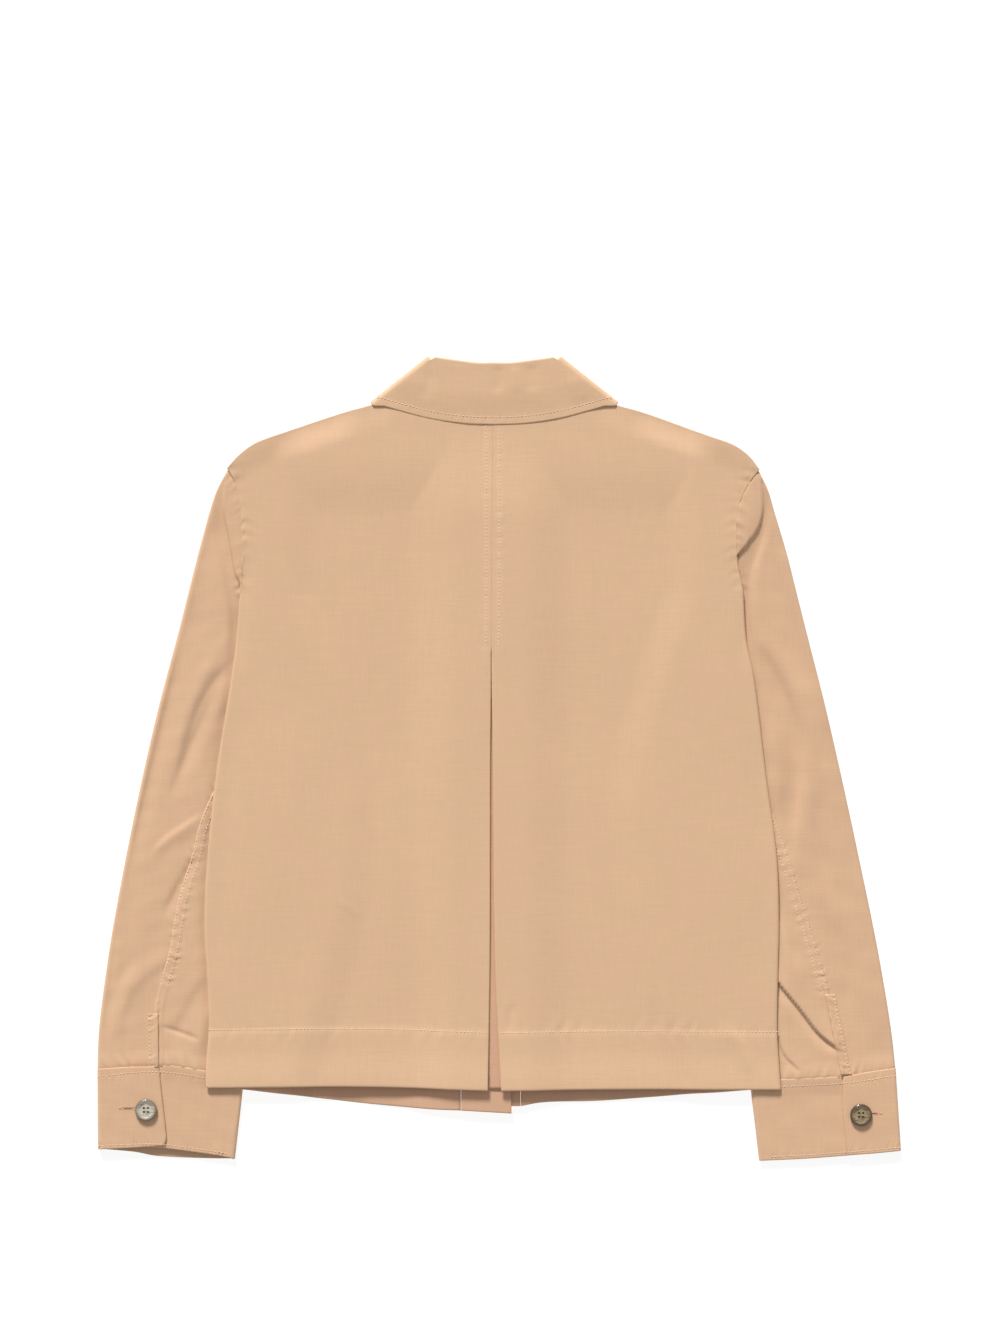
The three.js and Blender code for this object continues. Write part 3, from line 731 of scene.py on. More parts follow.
@dataclass
class Workroom:
    """Puts finished pieces in the scene, in the row frame."""

    finishes: Finishes
    origin: Vector
    stitches: list[Array] = field(default_factory=list)

    def place(self, name: str, mesh: bpy.types.Mesh, material: bpy.types.Material, slot: str, *nodes: str) -> bpy.types.Object:
        """Adds an object that rides on the part's one body.

        Args:
            name: The piece's name.
            mesh: Its mesh, in metres.
            material: Its finish.
            slot: The record's material slot; not used.
            nodes: The solids that it stands for.

        Returns:
            The object.
        """
        piece = bpy.data.objects.new(name, mesh)
        mesh.materials.append(material)
        bpy.context.scene.collection.objects.link(piece)
        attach(piece, "root")
        if nodes:
            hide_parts(*nodes)
        LOG.info("%s: %d faces", name, len(mesh.polygons))
        return piece

    def cloth(self, shell: Cloth, material: bpy.types.Material, node: str, flat: tuple[float, float],
              slot: str = "cotton", share: float | None = None) -> bpy.types.Object:
        """Adds a piece of cloth and says the size that it was cut to.

        Args:
            shell: The cloth as it lies.
            material: Its finish.
            node: The solid that it stands for.
            flat: The width and length of its cut, in metres.
            slot: The record's material slot.
            share: The cut's share of that width and length, where it isn't a rectangle.

        Returns:
            The object.
        """
        piece = self.place(f"{node}_cloth", shell.mesh(self.origin), material, slot, node)
        area = None if share is None else share * flat[0] * flat[1]
        real = sum(face.area for face in piece.data.polygons) / 2
        LOG.info("%s: %.4f m2 of cloth, %.2f of its cut", node, real, real / (area or flat[0] * flat[1]))
        return piece


@dataclass(frozen=True)
class StitchLine:
    """A row of lockstitches laid on the cloth along a plan curve."""

    points: Points
    pitch: float = 3.1
    length: float = 2.3
    radius: float = 0.32
    start: float = 0.0
    end: float = 1.0

    def lay(self, height: "HeightMap") -> tuple[Array, Array]:
        """Makes the stitches' points and faces.

        Args:
            height: The cloth's height at a place.

        Returns:
            The points, in millimetres, and the quads of all the stitches.
        """
        curve = Curve(self.points)
        run = curve.length * (self.end - self.start)
        count = max(1, int(run / self.pitch))
        middles = self.start * curve.length + (np.arange(count) + 0.5) * run / count
        stations = np.linspace(-0.5, 0.5, 5)
        plump = np.array([0.45, 0.95, 1.0, 0.95, 0.45]) * self.radius
        sink = np.array([0.35, 0.0, -0.12, 0.0, 0.35])
        reach = (middles[:, None] + stations[None] * self.length) / curve.length
        plan = curve.at(reach)
        ahead = curve.at(reach + 0.5 / curve.length) - curve.at(reach - 0.5 / curve.length)
        ahead /= np.linalg.norm(ahead, axis=-1, keepdims=True) + 1e-9
        across = np.stack([-ahead[..., 1], ahead[..., 0]], axis=-1)
        level = height(plan[..., 0], plan[..., 1]) - sink
        ring = []
        for angle in np.arange(6) * math.pi / 3:
            offset = plump[None, :, None] * math.cos(angle) * across
            ring.append(np.concatenate([plan + offset, (level + plump * math.sin(angle))[..., None]], axis=-1))
        points = np.stack(ring, axis=2)
        index = np.arange(count * 5 * 6).reshape(count, 5, 6)
        turned = np.roll(index, -1, axis=2)
        sides = np.stack([index[:, :-1], index[:, 1:], turned[:, 1:], turned[:, :-1]], axis=-1).reshape(-1, 4)
        caps = [index[:, 0, [0, 1, 2, 3]], index[:, 0, [3, 4, 5, 0]], index[:, -1, [3, 2, 1, 0]], index[:, -1, [0, 5, 4, 3]]]
        return points.reshape(-1, 3), np.vstack([sides, *caps])


class HeightMap:
    """The height of a cloth's outer face over its plan, read from its grid."""

    CELL = 2.0

    def __init__(self, *faces: Array) -> None:
        """Bins the faces' points into a fine raster.

        Args:
            faces: Grids of points, of which the highest at each place counts.
        """
        points = np.vstack([face.reshape(-1, 3) for face in faces])
        self.low = points[:, :2].min(axis=0) - 3 * self.CELL
        size = np.ceil((points[:, :2].max(axis=0) + 3 * self.CELL - self.low) / self.CELL).astype(int) + 1
        cell = np.round((points[:, :2] - self.low) / self.CELL).astype(int)
        grid = np.full(size, -np.inf)
        np.maximum.at(grid, (cell[:, 0], cell[:, 1]), points[:, 2])
        for _ in range(4):
            padded = np.pad(grid, 1, constant_values=-np.inf)
            around = [padded[1 + i:padded.shape[0] - 1 + i, 1 + j:padded.shape[1] - 1 + j] for i in (-1, 0, 1) for j in (-1, 0, 1)]
            known = np.stack([np.where(np.isfinite(part), part, 0) for part in around])
            counts = np.stack([np.isfinite(part) for part in around]).sum(axis=0)
            filled = known.sum(axis=0) / np.maximum(counts, 1)
            grid = np.where(np.isfinite(grid), grid, np.where(counts > 0, filled, -np.inf))
        self.grid = np.where(np.isfinite(grid), grid, 0.0)

    def __call__(self, x: Array, y: Array) -> Array:
        """The height at each place, in millimetres."""
        u = np.clip((x - self.low[0]) / self.CELL, 0, self.grid.shape[0] - 1.001)
        v = np.clip((y - self.low[1]) / self.CELL, 0, self.grid.shape[1] - 1.001)
        i, j = u.astype(int), v.astype(int)
        a, b = u - i, v - j
        near = self.grid[i, j] * (1 - b) + self.grid[i, j + 1] * b
        far = self.grid[i + 1, j] * (1 - b) + self.grid[i + 1, j + 1] * b
        return near * (1 - a) + far * a


def seam_wear_and_highlight_along(lines: list[Points], x: Array, y: Array, reach: float, seed: int) -> Array:
    """How much lighter the cloth is along its sewn lines, partly as wear and partly as a painted highlight, in uneven
    dashes, from 0 to 1.
    """
    total = np.zeros(np.shape(x))
    for number, points in enumerate(lines):
        curve = Curve(points)
        close = curve.close(x, y, 3 * reach)
        apart, along = curve.near(x[close], y[close])
        dash = 0.55 + 0.45 * Wander(seed + number).along(along, 5.0)
        total[close] = np.maximum(total[close], np.exp(-((apart / reach) ** 2)) * dash)
    return total


def edge_shares(count: int, fine: tuple[float, ...], width: float, at_end: bool = False) -> Array:
    """Column shares from 0 to 1 that are closer together near an edge.

    Args:
        count: How many even columns there are.
        fine: The places of the close columns, in millimetres from the edge.
        width: The piece's width, in millimetres.
        at_end: Whether the far edge has close columns too.

    Returns:
        The shares, in order.
    """
    near = np.array(fine) / width
    shares = np.concatenate([near, np.linspace(near[-1], 1, count)[1:]])
    if at_end:
        shares = np.concatenate([shares[shares < 1 - near[-1]], 1 - near[::-1]])
    return shares


def thin(outer: Array, wall: Array | float) -> Array:
    """The inner face of a cloth whose outer face looks up."""
    inner = outer.copy()
    inner[..., 2] -= wall
    return inner


@dataclass
class BackHalf:
    """A back half, with the fold that its edge makes at the pleat."""

    half: Half
    columns: int = 100
    rows: int = 215
    fold: float = 2.3  # the height of the folded edge
    pleat_top: float = 98.0
    flat: tuple[float, float] = (0.30, 0.615)

    @property
    def seams(self) -> list[Points]:
        """The lines of stitching on this half."""
        pattern, sign = PATTERNS[self.half], self.half.value
        seam_x = -11.8 if self.half is Half.LEFT else -0.6
        hem = [(x + (-sign * 1.5 if index == 0 else 0), y + HEM_DEPTH) for index, (x, y) in enumerate(pattern.back_hem)]
        return [[(seam_x, 306), (seam_x + 0.4, 200), (seam_x - 0.2, 96)], hem]

    def creases(self) -> list[Crease]:
        """The soft creases that show on this half."""
        if self.half is Half.LEFT:
            return [
                Crease([(-142, -119), (-118, -137)], 0.35, 1.6, 1.6),
                Crease([(-214, 190), (-222, 130), (-226, 70)], -0.8, 7, 9),
                Crease([(-150, 60), (-190, -60), (-205, -180)], 0.55, 26, 38),
                Crease([(-60, 60), (-80, -90), (-70, -230)], 0.6, 30, 40),
                Crease([(-225, 60), (-236, -60), (-240, -200)], -0.5, 9, 12),
                Crease([(-40, 180), (-120, 226), (-200, 236)], 0.15, 26, 26),
            ]
        return [
            Crease([(186, -226), (206, -244), (220, -276)], 0.7, 5, 8),
            Crease([(12, -208), (9, -225), (12, -240)], -0.5, 3, 3),
            Crease([(200, 190), (210, 130), (213, 70)], -0.8, 9, 7),
            Crease([(150, 60), (180, -60), (200, -190)], 0.55, 36, 26),
            Crease([(60, 40), (66, -90), (50, -230)], 0.6, 38, 30),
            Crease([(214, 40), (226, -80), (228, -200)], -0.5, 12, 9),
            Crease([(30, 180), (110, 226), (180, 236)], 0.15, 26, 26),
        ]

    def relief(self, x: Array, y: Array) -> Array:
        """The creases, the puckers along the sewing and a slow swell, in millimetres."""
        sign = self.half.value
        lift = 0.28 * Wander(20 + sign).over(x, y, 170) + sum(crease.lift(x, y) for crease in self.creases())
        centre, hem = self.seams
        armhole = [(px - sign * 3, py) for px, py in PATTERNS[self.half].armhole]
        for number, (points, depth, reach, pitch) in enumerate(
            [(centre, 0.2, 4, 7), (hem, 0.3, 9, 11), (armhole, 0.5, 7, 8)]
        ):
            lift = lift + Pucker(points, depth, reach, pitch, 40 + number + sign).lift(x, y)
        return lift

    def build(self, room: Workroom) -> HeightMap:
        """Builds the piece.

        Args:
            room: Where it goes.

        Returns:
            Its height, for what is sewn on it.
        """
        pattern, half = PATTERNS[self.half], self.half
        sign = half.value
        neckline = [pattern.shoulder[-1], (CENTRE_X + 42 * sign, 309.5), pattern.centre_back[-1]]
        top = Joined(Curve(neckline[::-1]), Curve(pattern.shoulder[::-1]), 0.32)
        side = Joined(Curve(pattern.side), Curve(pattern.armhole), 0.79)
        patch = Patch(Curve(pattern.back_hem[::-1]), top, Curve(pattern.centre_back), side)
        shares = edge_shares(self.columns, (0, 0.5, 1.1, 1.9, 3.0), 240, at_end=True)
        down = edge_shares(self.rows, (0, 0.5, 1.1, 1.9, 3.0), 590, at_end=True)
        s, t = np.meshgrid(shares, down, indexing="xy")
        plan = patch.at(s, t)
        edge = patch.at(np.zeros_like(down), down)
        inward = patch.at(np.full_like(down, 0.08), down) - edge
        inward /= np.linalg.norm(inward, axis=-1, keepdims=True)
        opened = 1 - smooth(edge[:, 1], self.pleat_top - 10, self.pleat_top)
        radius = 0.35 + (self.fold / 2 - 0.35) * opened
        flat_radius = radius
        edge = edge - inward * (0.17 * (1 - opened))[:, None]
        keep = np.linalg.norm(plan - edge[:, None], axis=-1) >= flat_radius[:, None] - 1e-6
        plan = np.where(keep[..., None], plan, (edge + inward * flat_radius[:, None])[:, None])
        x, y = plan[..., 0], plan[..., 1]
        lift = self.relief(x, y)
        fade = smooth(np.linalg.norm(plan - edge[:, None], axis=-1), 0, 6)
        z = back_under(half, x, y) + CLOTH + lift * (0.5 + 0.5 * fade)
        to_side = (1 - s) * 240
        z = z - np.where(t < 0.79, 1.1, 0.35) * np.clip(1 - to_side / 2.6, 0, 1) ** 2
        from_hem = t * 590
        z = z - 0.5 * np.clip(1 - from_hem / 1.6, 0, 1) ** 2 + 1.3 * (1 - smooth(from_hem, 0, 34))
        z = z + 0.3 * (1 - smooth(from_hem, 49.2, 50.8))
        outer = np.dstack([plan, z])
        inner = thin(outer, THREAD_SKIN)
        turns, turns_in = [], []
        start = outer[:, 0]
        for angle in np.radians(np.linspace(-90, 70, 7)):
            reach = flat_radius * (1 - math.cos(angle))
            height = start[:, 2] - radius * (1 - math.sin(angle))
            turns.append(np.column_stack([edge + inward * reach[:, None], height]))
            reach_in = flat_radius + (0.45 * math.cos(angle)) * -flat_radius
            height_in = start[:, 2] - radius + (radius - THREAD_SKIN) * math.sin(angle)
            turns_in.append(np.column_stack([edge + inward * reach_in[:, None], height_in]))
        reach = 8 + 42 * opened
        backs, backs_in = [], []
        for share in (1.0, 0.75, 0.5, 0.3, 0.15, 0.05):
            place = edge + inward * (flat_radius + reach * share)[:, None]
            level = np.minimum(back_under(half, place[:, 0], place[:, 1]) - GAP, start[:, 2] - 2 * radius)
            backs.append(np.column_stack([place, level]))
            backs_in.append(np.column_stack([place, level + THREAD_SKIN]))
        outer = np.concatenate([np.stack([*backs, *turns], axis=1), outer], axis=1)
        inner = np.concatenate([np.stack([*backs_in, *turns_in], axis=1), inner], axis=1)
        worn = seam_wear_and_highlight_along(self.seams, outer[..., 0], outer[..., 1], 2.2, 60)
        room.cloth(
            Cloth(f"back_{half.word}", outer, inner, worn), room.finishes.body, f"back_{half.word}", self.flat,
            share=0.84,
        )
        return HeightMap(outer[:, 13:])


@dataclass
class PleatUnderlay:
    """The strip that shows in the open pleat."""

    left: float = -57.0
    right: float = 47.0
    bottom: float = -284.7
    top: float = 74.0

    def build(self, room: Workroom) -> None:
        """Builds the strip under the two folded edges."""
        x, y = np.meshgrid(np.linspace(self.left, self.right, 60), np.linspace(self.bottom, self.top, 130))
        z = BACK_AT_REST - 2 * LAYER_STEP + CENTRE_RISE * band_rise(x) + CLOTH
        z = z + 0.12 * Wander(5).over(x, y, 60)
        outer = np.dstack([x, y, z])
        room.cloth(
            Cloth("pleat_underlay", outer, thin(outer, THREAD_SKIN)), room.finishes.inside, "pleat_underlay",
            (0.104, 0.36), slot="cotton_inside",
        )


@dataclass
class Front:
    """A front, under the back."""

    half: Half
    flat: tuple[float, float] = (0.24, 0.61)

    def build(self, room: Workroom) -> HeightMap:
        """Builds the piece and returns its height."""
        pattern, half = PATTERNS[self.half], self.half
        sign = half.value
        edge = pattern.front_edge[-1]
        neckline = [
            (pattern.shoulder[-1][0], 315.8), (CENTRE_X + sign * 69, 284), (CENTRE_X + sign * 50, 252), edge,
        ]
        top = Joined(Curve(neckline[::-1]), Curve(pattern.shoulder[::-1]), 0.38)
        side = Joined(Curve([pattern.front_hem[0], *pattern.side[1:]]), Curve(pattern.armhole), 0.79)
        patch = Patch(Curve(pattern.front_hem[::-1]), top, Curve(pattern.front_edge), side)
        shares = np.linspace(0, 0.996, 70)
        down = edge_shares(140, (0, 0.5, 1.1, 2.0), 590)
        s, t = np.meshgrid(shares, down)
        plan = patch.at(s, t)
        x, y = plan[..., 0], plan[..., 1]
        z = front_under(half, x, y) + CLOTH + 0.2 * Wander(9 + sign).over(x, y, 120) * smooth(t, 0, 0.06)
        near_hem = 1 - smooth(t * 590, 0, 40)
        z = z + 0.7 * near_hem * Wander(14 + sign).along(x, 62) + 0.4 * near_hem
        z = np.maximum(z, 0.7) - 0.4 * np.clip(1 - t * 590 / 1.4, 0, 1) ** 2
        outer = np.dstack([x, y, z])
        inner = thin(outer, THREAD_SKIN)
        room.cloth(
            Cloth(f"front_{half.word}", outer, inner), room.finishes.inside, f"front_{half.word}", self.flat,
            share=0.85,
        )
        return HeightMap(outer)


@dataclass
class FrontBand:
    """The doubled band along a front edge."""

    half: Half

    def build(self, room: Workroom) -> None:
        """Builds the band."""
        left = self.half is Half.LEFT
        near, far = (-33.1, 10.3) if left else (-25.0, 18.0)
        low, high = (-303.2, -305.7) if left else (-299.8, -299.5)
        level = (UNDERLAP_BAND if left else OVERLAP_BAND) + DOUBLED
        shares = edge_shares(18, (0, 0.3, 0.8, 1.6), 43, at_end=True)
        s, t = np.meshgrid(shares, edge_shares(120, (0, 0.4, 1.0, 1.8), 540))
        x = near + (far - near) * s
        bottom = low + (high - low) * s
        y = bottom + (239 - bottom) * t
        rim = np.minimum(np.minimum(s, 1 - s) * 43, t * 540)
        z = level + 0.08 * Wander(31 + self.half.value).over(x, y, 30) - 0.4 * np.clip(1 - rim / 0.9, 0, 1) ** 2
        outer = np.dstack([x, y, z])
        room.cloth(
            Cloth(f"placket_{self.half.word}", outer, thin(outer, 1.1)), room.finishes.inside,
            f"placket_{self.half.word}", (0.043, 0.545),
        )


@dataclass
class Sleeve:
    """A two-piece sleeve, flattened, with its felled seam, its cap and the folds that lie in it."""

    half: Half
    rows: int = 215
    front_seam: float = 0.6
    fell: float = 3.9  # half the felled band

    def __post_init__(self) -> None:
        """Finds the plan and where the seam lies in it."""
        pattern = PATTERNS[self.half]
        sign = self.half.value
        self.fold_depth = {Half.LEFT: 1.25, Half.RIGHT: 1.4}
        self.under_start = 0.15 if self.half is Half.LEFT else 0.2  # below the fold of cloth in the underarm
        armhole = [(x - sign * 1.2, y) for x, y in pattern.armhole[::-1]]
        end = [(x, y - 1.6) for x, y in pattern.sleeve_end]
        self.patch = Patch(Curve(armhole), Curve(end), Curve(pattern.sleeve_outer), Curve(pattern.sleeve_inner))
        s, t = np.meshgrid(np.linspace(0, 1, 241), np.linspace(0, 1, 241))
        places = self.patch.at(s, t)
        found = []
        for point in Curve(pattern.sleeve_seam).at(np.linspace(0, 1, 60)):
            index = int(np.argmin(np.hypot(places[..., 0] - point[0], places[..., 1] - point[1])))
            found.append((t.ravel()[index], s.ravel()[index]))
        self.seam = np.array(sorted(found))
        self.cap = Curve(pattern.cap_fold)
        self.fell_line = Curve(pattern.sleeve_seam)

    def folds(self) -> list[Crease | Tuck]:
        """The folds that lie in the sleeve, as in the photo."""
        if self.half is Half.LEFT:
            return [
                Crease([(-242, 229), (-254, 174), (-266, 119), (-276, 80)], -1.1, 12, 8),
                Crease([(-242, 236), (-241, 196), (-234, 160), (-229, 118), (-234, 70)], -1.3, 9, 4),
                Crease([(-262, 140), (-274, 95), (-292, 20), (-311, -62), (-322, -120)], -1.1, 8, 4),
                Crease([(-280, 110), (-302, 20), (-322, -70), (-332, -120)], 0.6, 6, 6),
                Crease([(-218, 96), (-240, 72), (-256, 48), (-268, 14), (-276, -24)], -1.0, 8, 4.5),
                Crease([(-228, 112), (-248, 82), (-263, 50), (-276, 8), (-284, -30)], 0.8, 6, 7),
                Crease([(-240, 66), (-258, 26), (-272, -4), (-286, -44)], -0.8, 7, 4),
                Crease([(-222, 60), (-236, 40), (-246, 8), (-252, -30)], -0.7, 9, 6),
                Crease([(-250, -46), (-270, -59), (-287, -71), (-302, -86)], 0.9, 6, 3),
                Crease([(-256, -76), (-272, -103), (-281, -120), (-290, -140)], -0.9, 6, 3.5),
                Crease([(-300, -100), (-312, -160), (-318, -225)], 0.7, 12, 9),
                Crease([(-330, -120), (-336, -190), (-339, -262)], -0.6, 5, 6),
                Crease([(-332, -258), (-322, -205), (-296, -178), (-270, -168)], 0.7, 9, 6),
                Crease([(-336, -230), (-326, -190), (-306, -160)], -0.5, 6, 6),
                Tuck([(-293.3, -280), (-293.3, -266), (-293.6, -219.7), (-293.9, -205)], 1.3, 2.4),
                Crease([(-293, -230), (-284, -233), (-272, -237), (-256, -243)], -0.6, 2.2, 2.2),
                Crease([(-250, -186), (-264, -210), (-276, -232), (-284, -256)], -0.6, 7, 5),
                Crease([(-240, -200), (-252, -226), (-262, -256)], 0.5, 6, 6),
                Crease([(-258, 190), (-266, 130), (-285, 60)], 0.6, 8, 6),
            ]
        return [
            Crease([(229, 236), (228, 200), (216, 160), (214, 118), (220, 70)], -1.3, 4, 9),
            Crease([(206, 112), (232, 80), (250, 40), (256, 0), (251, -62), (248, -104)], -1.4, 6, 11),
            Crease([(222, 118), (250, 70), (266, 20), (268, -30), (260, -96)], 0.9, 8, 10),
            Tuck([(226, -174), (239.6, -193), (256.8, -214), (274, -236), (286.3, -246.5), (296, -254)], 2.4, 13),
            Tuck([(278, -196), (280.2, -205), (293.1, -270), (296, -284)], 1.3, 2.4),
            Tuck([(236, -226), (239, -239), (245.7, -255.7), (260, -270)], 0.9, 8),
            Crease([(226, 206), (238, 150), (256, 90), (268, 50)], -0.9, 10, 7),
            Crease([(244, 190), (258, 130), (280, 55), (290, 10)], 0.6, 8, 8),
            Crease([(284, 40), (302, -45), (316, -130)], -0.7, 9, 9),
            Crease([(298, -120), (316, -190), (328, -258)], 0.6, 10, 10),
            Crease([(270, -110), (290, -168), (306, -236)], -0.6, 8, 8),
            Crease([(226, -110), (242, -155), (258, -190), (268, -214)], 0.7, 6, 8),
            Crease([(262, -40), (276, -80), (284, -120)], -0.5, 6, 6),
            Crease([(232, 40), (240, 0), (240, -50)], 0.5, 7, 7),
        ]

    def top(self, s: Array, t: Array) -> Array:
        """The height of the face that shows."""
        plan = self.patch.at(s, t)
        x, y = plan[..., 0], plan[..., 1]
        sign = self.half.value
        apart, reach = self.cap.near(x, y)
        beyond = -apart if self.half is Half.LEFT else apart
        near_top = 1 - smooth(t, 0.16, 0.3)
        strip = (1 - smooth(beyond, -0.4, 1.1)) * near_top * (1 - smooth(s, 0.7, 0.95))
        lift = (1 - smooth(t, 0, 0.13)) * (1 - smooth(s, 0.35, 0.58))
        level = SLEEVE_TOP + 0.3 * lift + (BACK_ON_SLEEVE + CLOTH - SLEEVE_TOP - 0.3 * lift) * strip
        level = level + self.fold_depth[self.half] * sum(fold.lift(x, y) for fold in self.folds())
        beside, _ = Curve(PATTERNS[self.half].side).near(x, y)
        level = level - 1.3 * np.exp(-((beside / 4.5) ** 2)) * smooth(t, 0.05, 0.2)
        body = Curve([*PATTERNS[self.half].side, *PATTERNS[self.half].armhole[1:]])
        inside, _ = body.near(x, y)
        tucked = BACK_ON_SLEEVE - 0.9 + 2.2 * smooth(inside * -sign, -2.6, -0.8)
        level = np.minimum(level, tucked)
        level = level + 0.22 * Wander(70 + sign).over(x, y, 70) + 0.1 * Wander(80 + sign).over(x, y, 24)
        offset, along = self.fell_line.near(x, y)
        band = smooth(-np.abs(offset), -self.fell - 0.5, -self.fell + 0.3)
        level = level + 0.42 * band
        for number, points in enumerate(self.rows_of_stitches()):
            level = level + Pucker(points, 0.5, 3.6, 6.5, 90 + number + sign).lift(x, y)
        level = level + Pucker(PATTERNS[self.half].armhole, 0.45, 6, 9, 99 + sign).lift(x, y)
        level = level + Pucker(PATTERNS[self.half].sleeve_end, 0.4, 9, 8, 103 + sign).lift(x, y)
        level = level + 0.75 * smooth(t, 0.965, 0.99) - 0.55 * smooth(t, 0.9945, 1.0) - 0.6 * (1 - smooth(t, 0.0, 0.0045))
        low = FRONT_ON_SLEEVE * lift
        return np.maximum(level, low + 1.5)

    def rows_of_stitches(self) -> list[Points]:
        """The two rows down the felled seam."""
        line = Curve(PATTERNS[self.half].sleeve_seam)
        shares = np.linspace(0.0, 0.83, 14)
        middle = line.at(shares)
        ahead = line.at(shares + 0.01) - line.at(np.maximum(shares - 0.01, 0))
        ahead /= np.linalg.norm(ahead, axis=-1, keepdims=True)
        across = np.stack([-ahead[:, 1], ahead[:, 0]], axis=-1)
        return [[tuple(point) for point in middle + across * (self.fell - 0.9) * side] for side in (-1, 1)]

    def piece(self, edge: int, columns: int) -> tuple[Array, Array]:
        """One piece's outer and inner faces, from the seam round an edge of the sleeve to the floor."""
        down = edge_shares(self.rows, (0, 1.0, 2.2, 3.6), 560, at_end=True)
        if edge == 1:
            down = np.append(self.under_start, down[down > self.under_start])
            down = np.concatenate([down[down < 0.8], np.linspace(0.8, 0.97, 90), down[down > 0.97]])
        wall, roll = THREAD_SKIN, np.arange(1, 8) / 8 * math.pi
        start, end = self.patch.at(np.zeros_like(down), down), self.patch.at(np.ones_like(down), down)
        width = np.linalg.norm(end - start, axis=-1)
        lap = (1.3 if edge == 0 else 0.0) / width
        seam = np.interp(down, self.seam[:, 0], self.seam[:, 1]) - self.fell / width + lap
        inset = np.abs(edge - 2.4 / width)
        share = np.clip(seam, 0.12, 0.97)[:, None] + np.linspace(0, 1, columns) * (inset - np.clip(seam, 0.12, 0.97))[:, None]
        rows = np.repeat(down[:, None], columns, axis=1)
        flat, level = self.patch.at(share, rows), self.top(share, rows)
        if edge == 0:
            level = level - 0.65 * np.clip(1 - np.abs(share - share[:, :1]) * width[:, None] / 2.4, 0, 1)
        low = FRONT_ON_SLEEVE * (1 - smooth(down, 0, 0.13)) * (1.0 if edge == 0 else 0.0)
        turn = self.patch.at(inset, down)
        out = ((end if edge else start) - turn)[:, None] * np.sin(roll)[None, :, None]
        middle, radius = (level[:, -1] + low) / 2, (level[:, -1] - low) / 2
        lower = self.front_seam + (0.003 if edge else 0)
        under = inset[:, None] + np.linspace(0, 1, 9) * (lower - inset)[:, None]
        far = np.repeat(down[:, None], 9, axis=1)
        under_z = FRONT_ON_SLEEVE * (1 - smooth(far, 0, 0.13)) * (1 - smooth(under, 0.35, 0.58)) + 0.02
        faces = []
        for skin in (0.0, wall):
            turned = np.dstack([turn[:, None] + out * (1 - skin / 2.4),
                                middle[:, None] + (radius - skin)[:, None] * np.cos(roll)])
            floor = np.dstack([self.patch.at(under, far), under_z + skin])
            faces.append(np.concatenate([np.dstack([flat, level - skin]), turned, floor], axis=1))
        return faces[0], faces[1]

    def build(self, room: Workroom) -> HeightMap:
        """Builds both pieces and returns the height of the face that shows."""
        word = self.half.word
        lines = self.rows_of_stitches()
        faces = []
        for name, edge, columns, flat in (("upper", 0, 58, (0.14, 0.59)), ("under", 1, 64, (0.12, 0.425))):
            outer, inner = self.piece(edge, columns)
            worn = seam_wear_and_highlight_along(lines, outer[..., 0], outer[..., 1], 2.0, 64)
            faces.append(outer[:, :columns])
            room.cloth(
                Cloth(f"sleeve_{name}_{word}", outer, inner, worn), room.finishes.sleeve[self.half],
                f"sleeve_{name}_{word}", flat, share=0.86,
            )
        return HeightMap(*faces)


@dataclass
class SleevePlacket:
    """The narrow facing beside a cuff opening."""

    half: Half
    width: float = 9.3

    def build(self, room: Workroom, sleeve: HeightMap) -> HeightMap:
        """Builds the facing on the sleeve."""
        sign = self.half.value
        line = Curve(PATTERNS[self.half].opening)
        share, across = np.meshgrid(np.linspace(0, 1, 46), edge_shares(12, (0, 0.3, 0.7, 1.2), self.width, at_end=True))
        plan = line.at(share)
        x = plan[..., 0] + sign * self.width * across
        y = plan[..., 1]
        rim = np.minimum(across, 1 - across) * self.width
        z = sleeve(x, y) + 0.75 - 0.5 * np.clip(1 - rim / 0.8, 0, 1) ** 2
        stitched = [(point[0] + sign * 7.6, point[1]) for point in PATTERNS[self.half].opening]
        z = z + Pucker(stitched, 0.35, 4.5, 6.0, 111).lift(x, y)
        outer = np.dstack([x, y, z])
        room.cloth(
            Cloth(f"sleeve_placket_{self.half.word}", outer, thin(outer, 0.6)), room.finishes.sleeve[self.half],
            f"sleeve_placket_{self.half.word}", (0.0105, line.length * MM),
        )
        return HeightMap(outer)


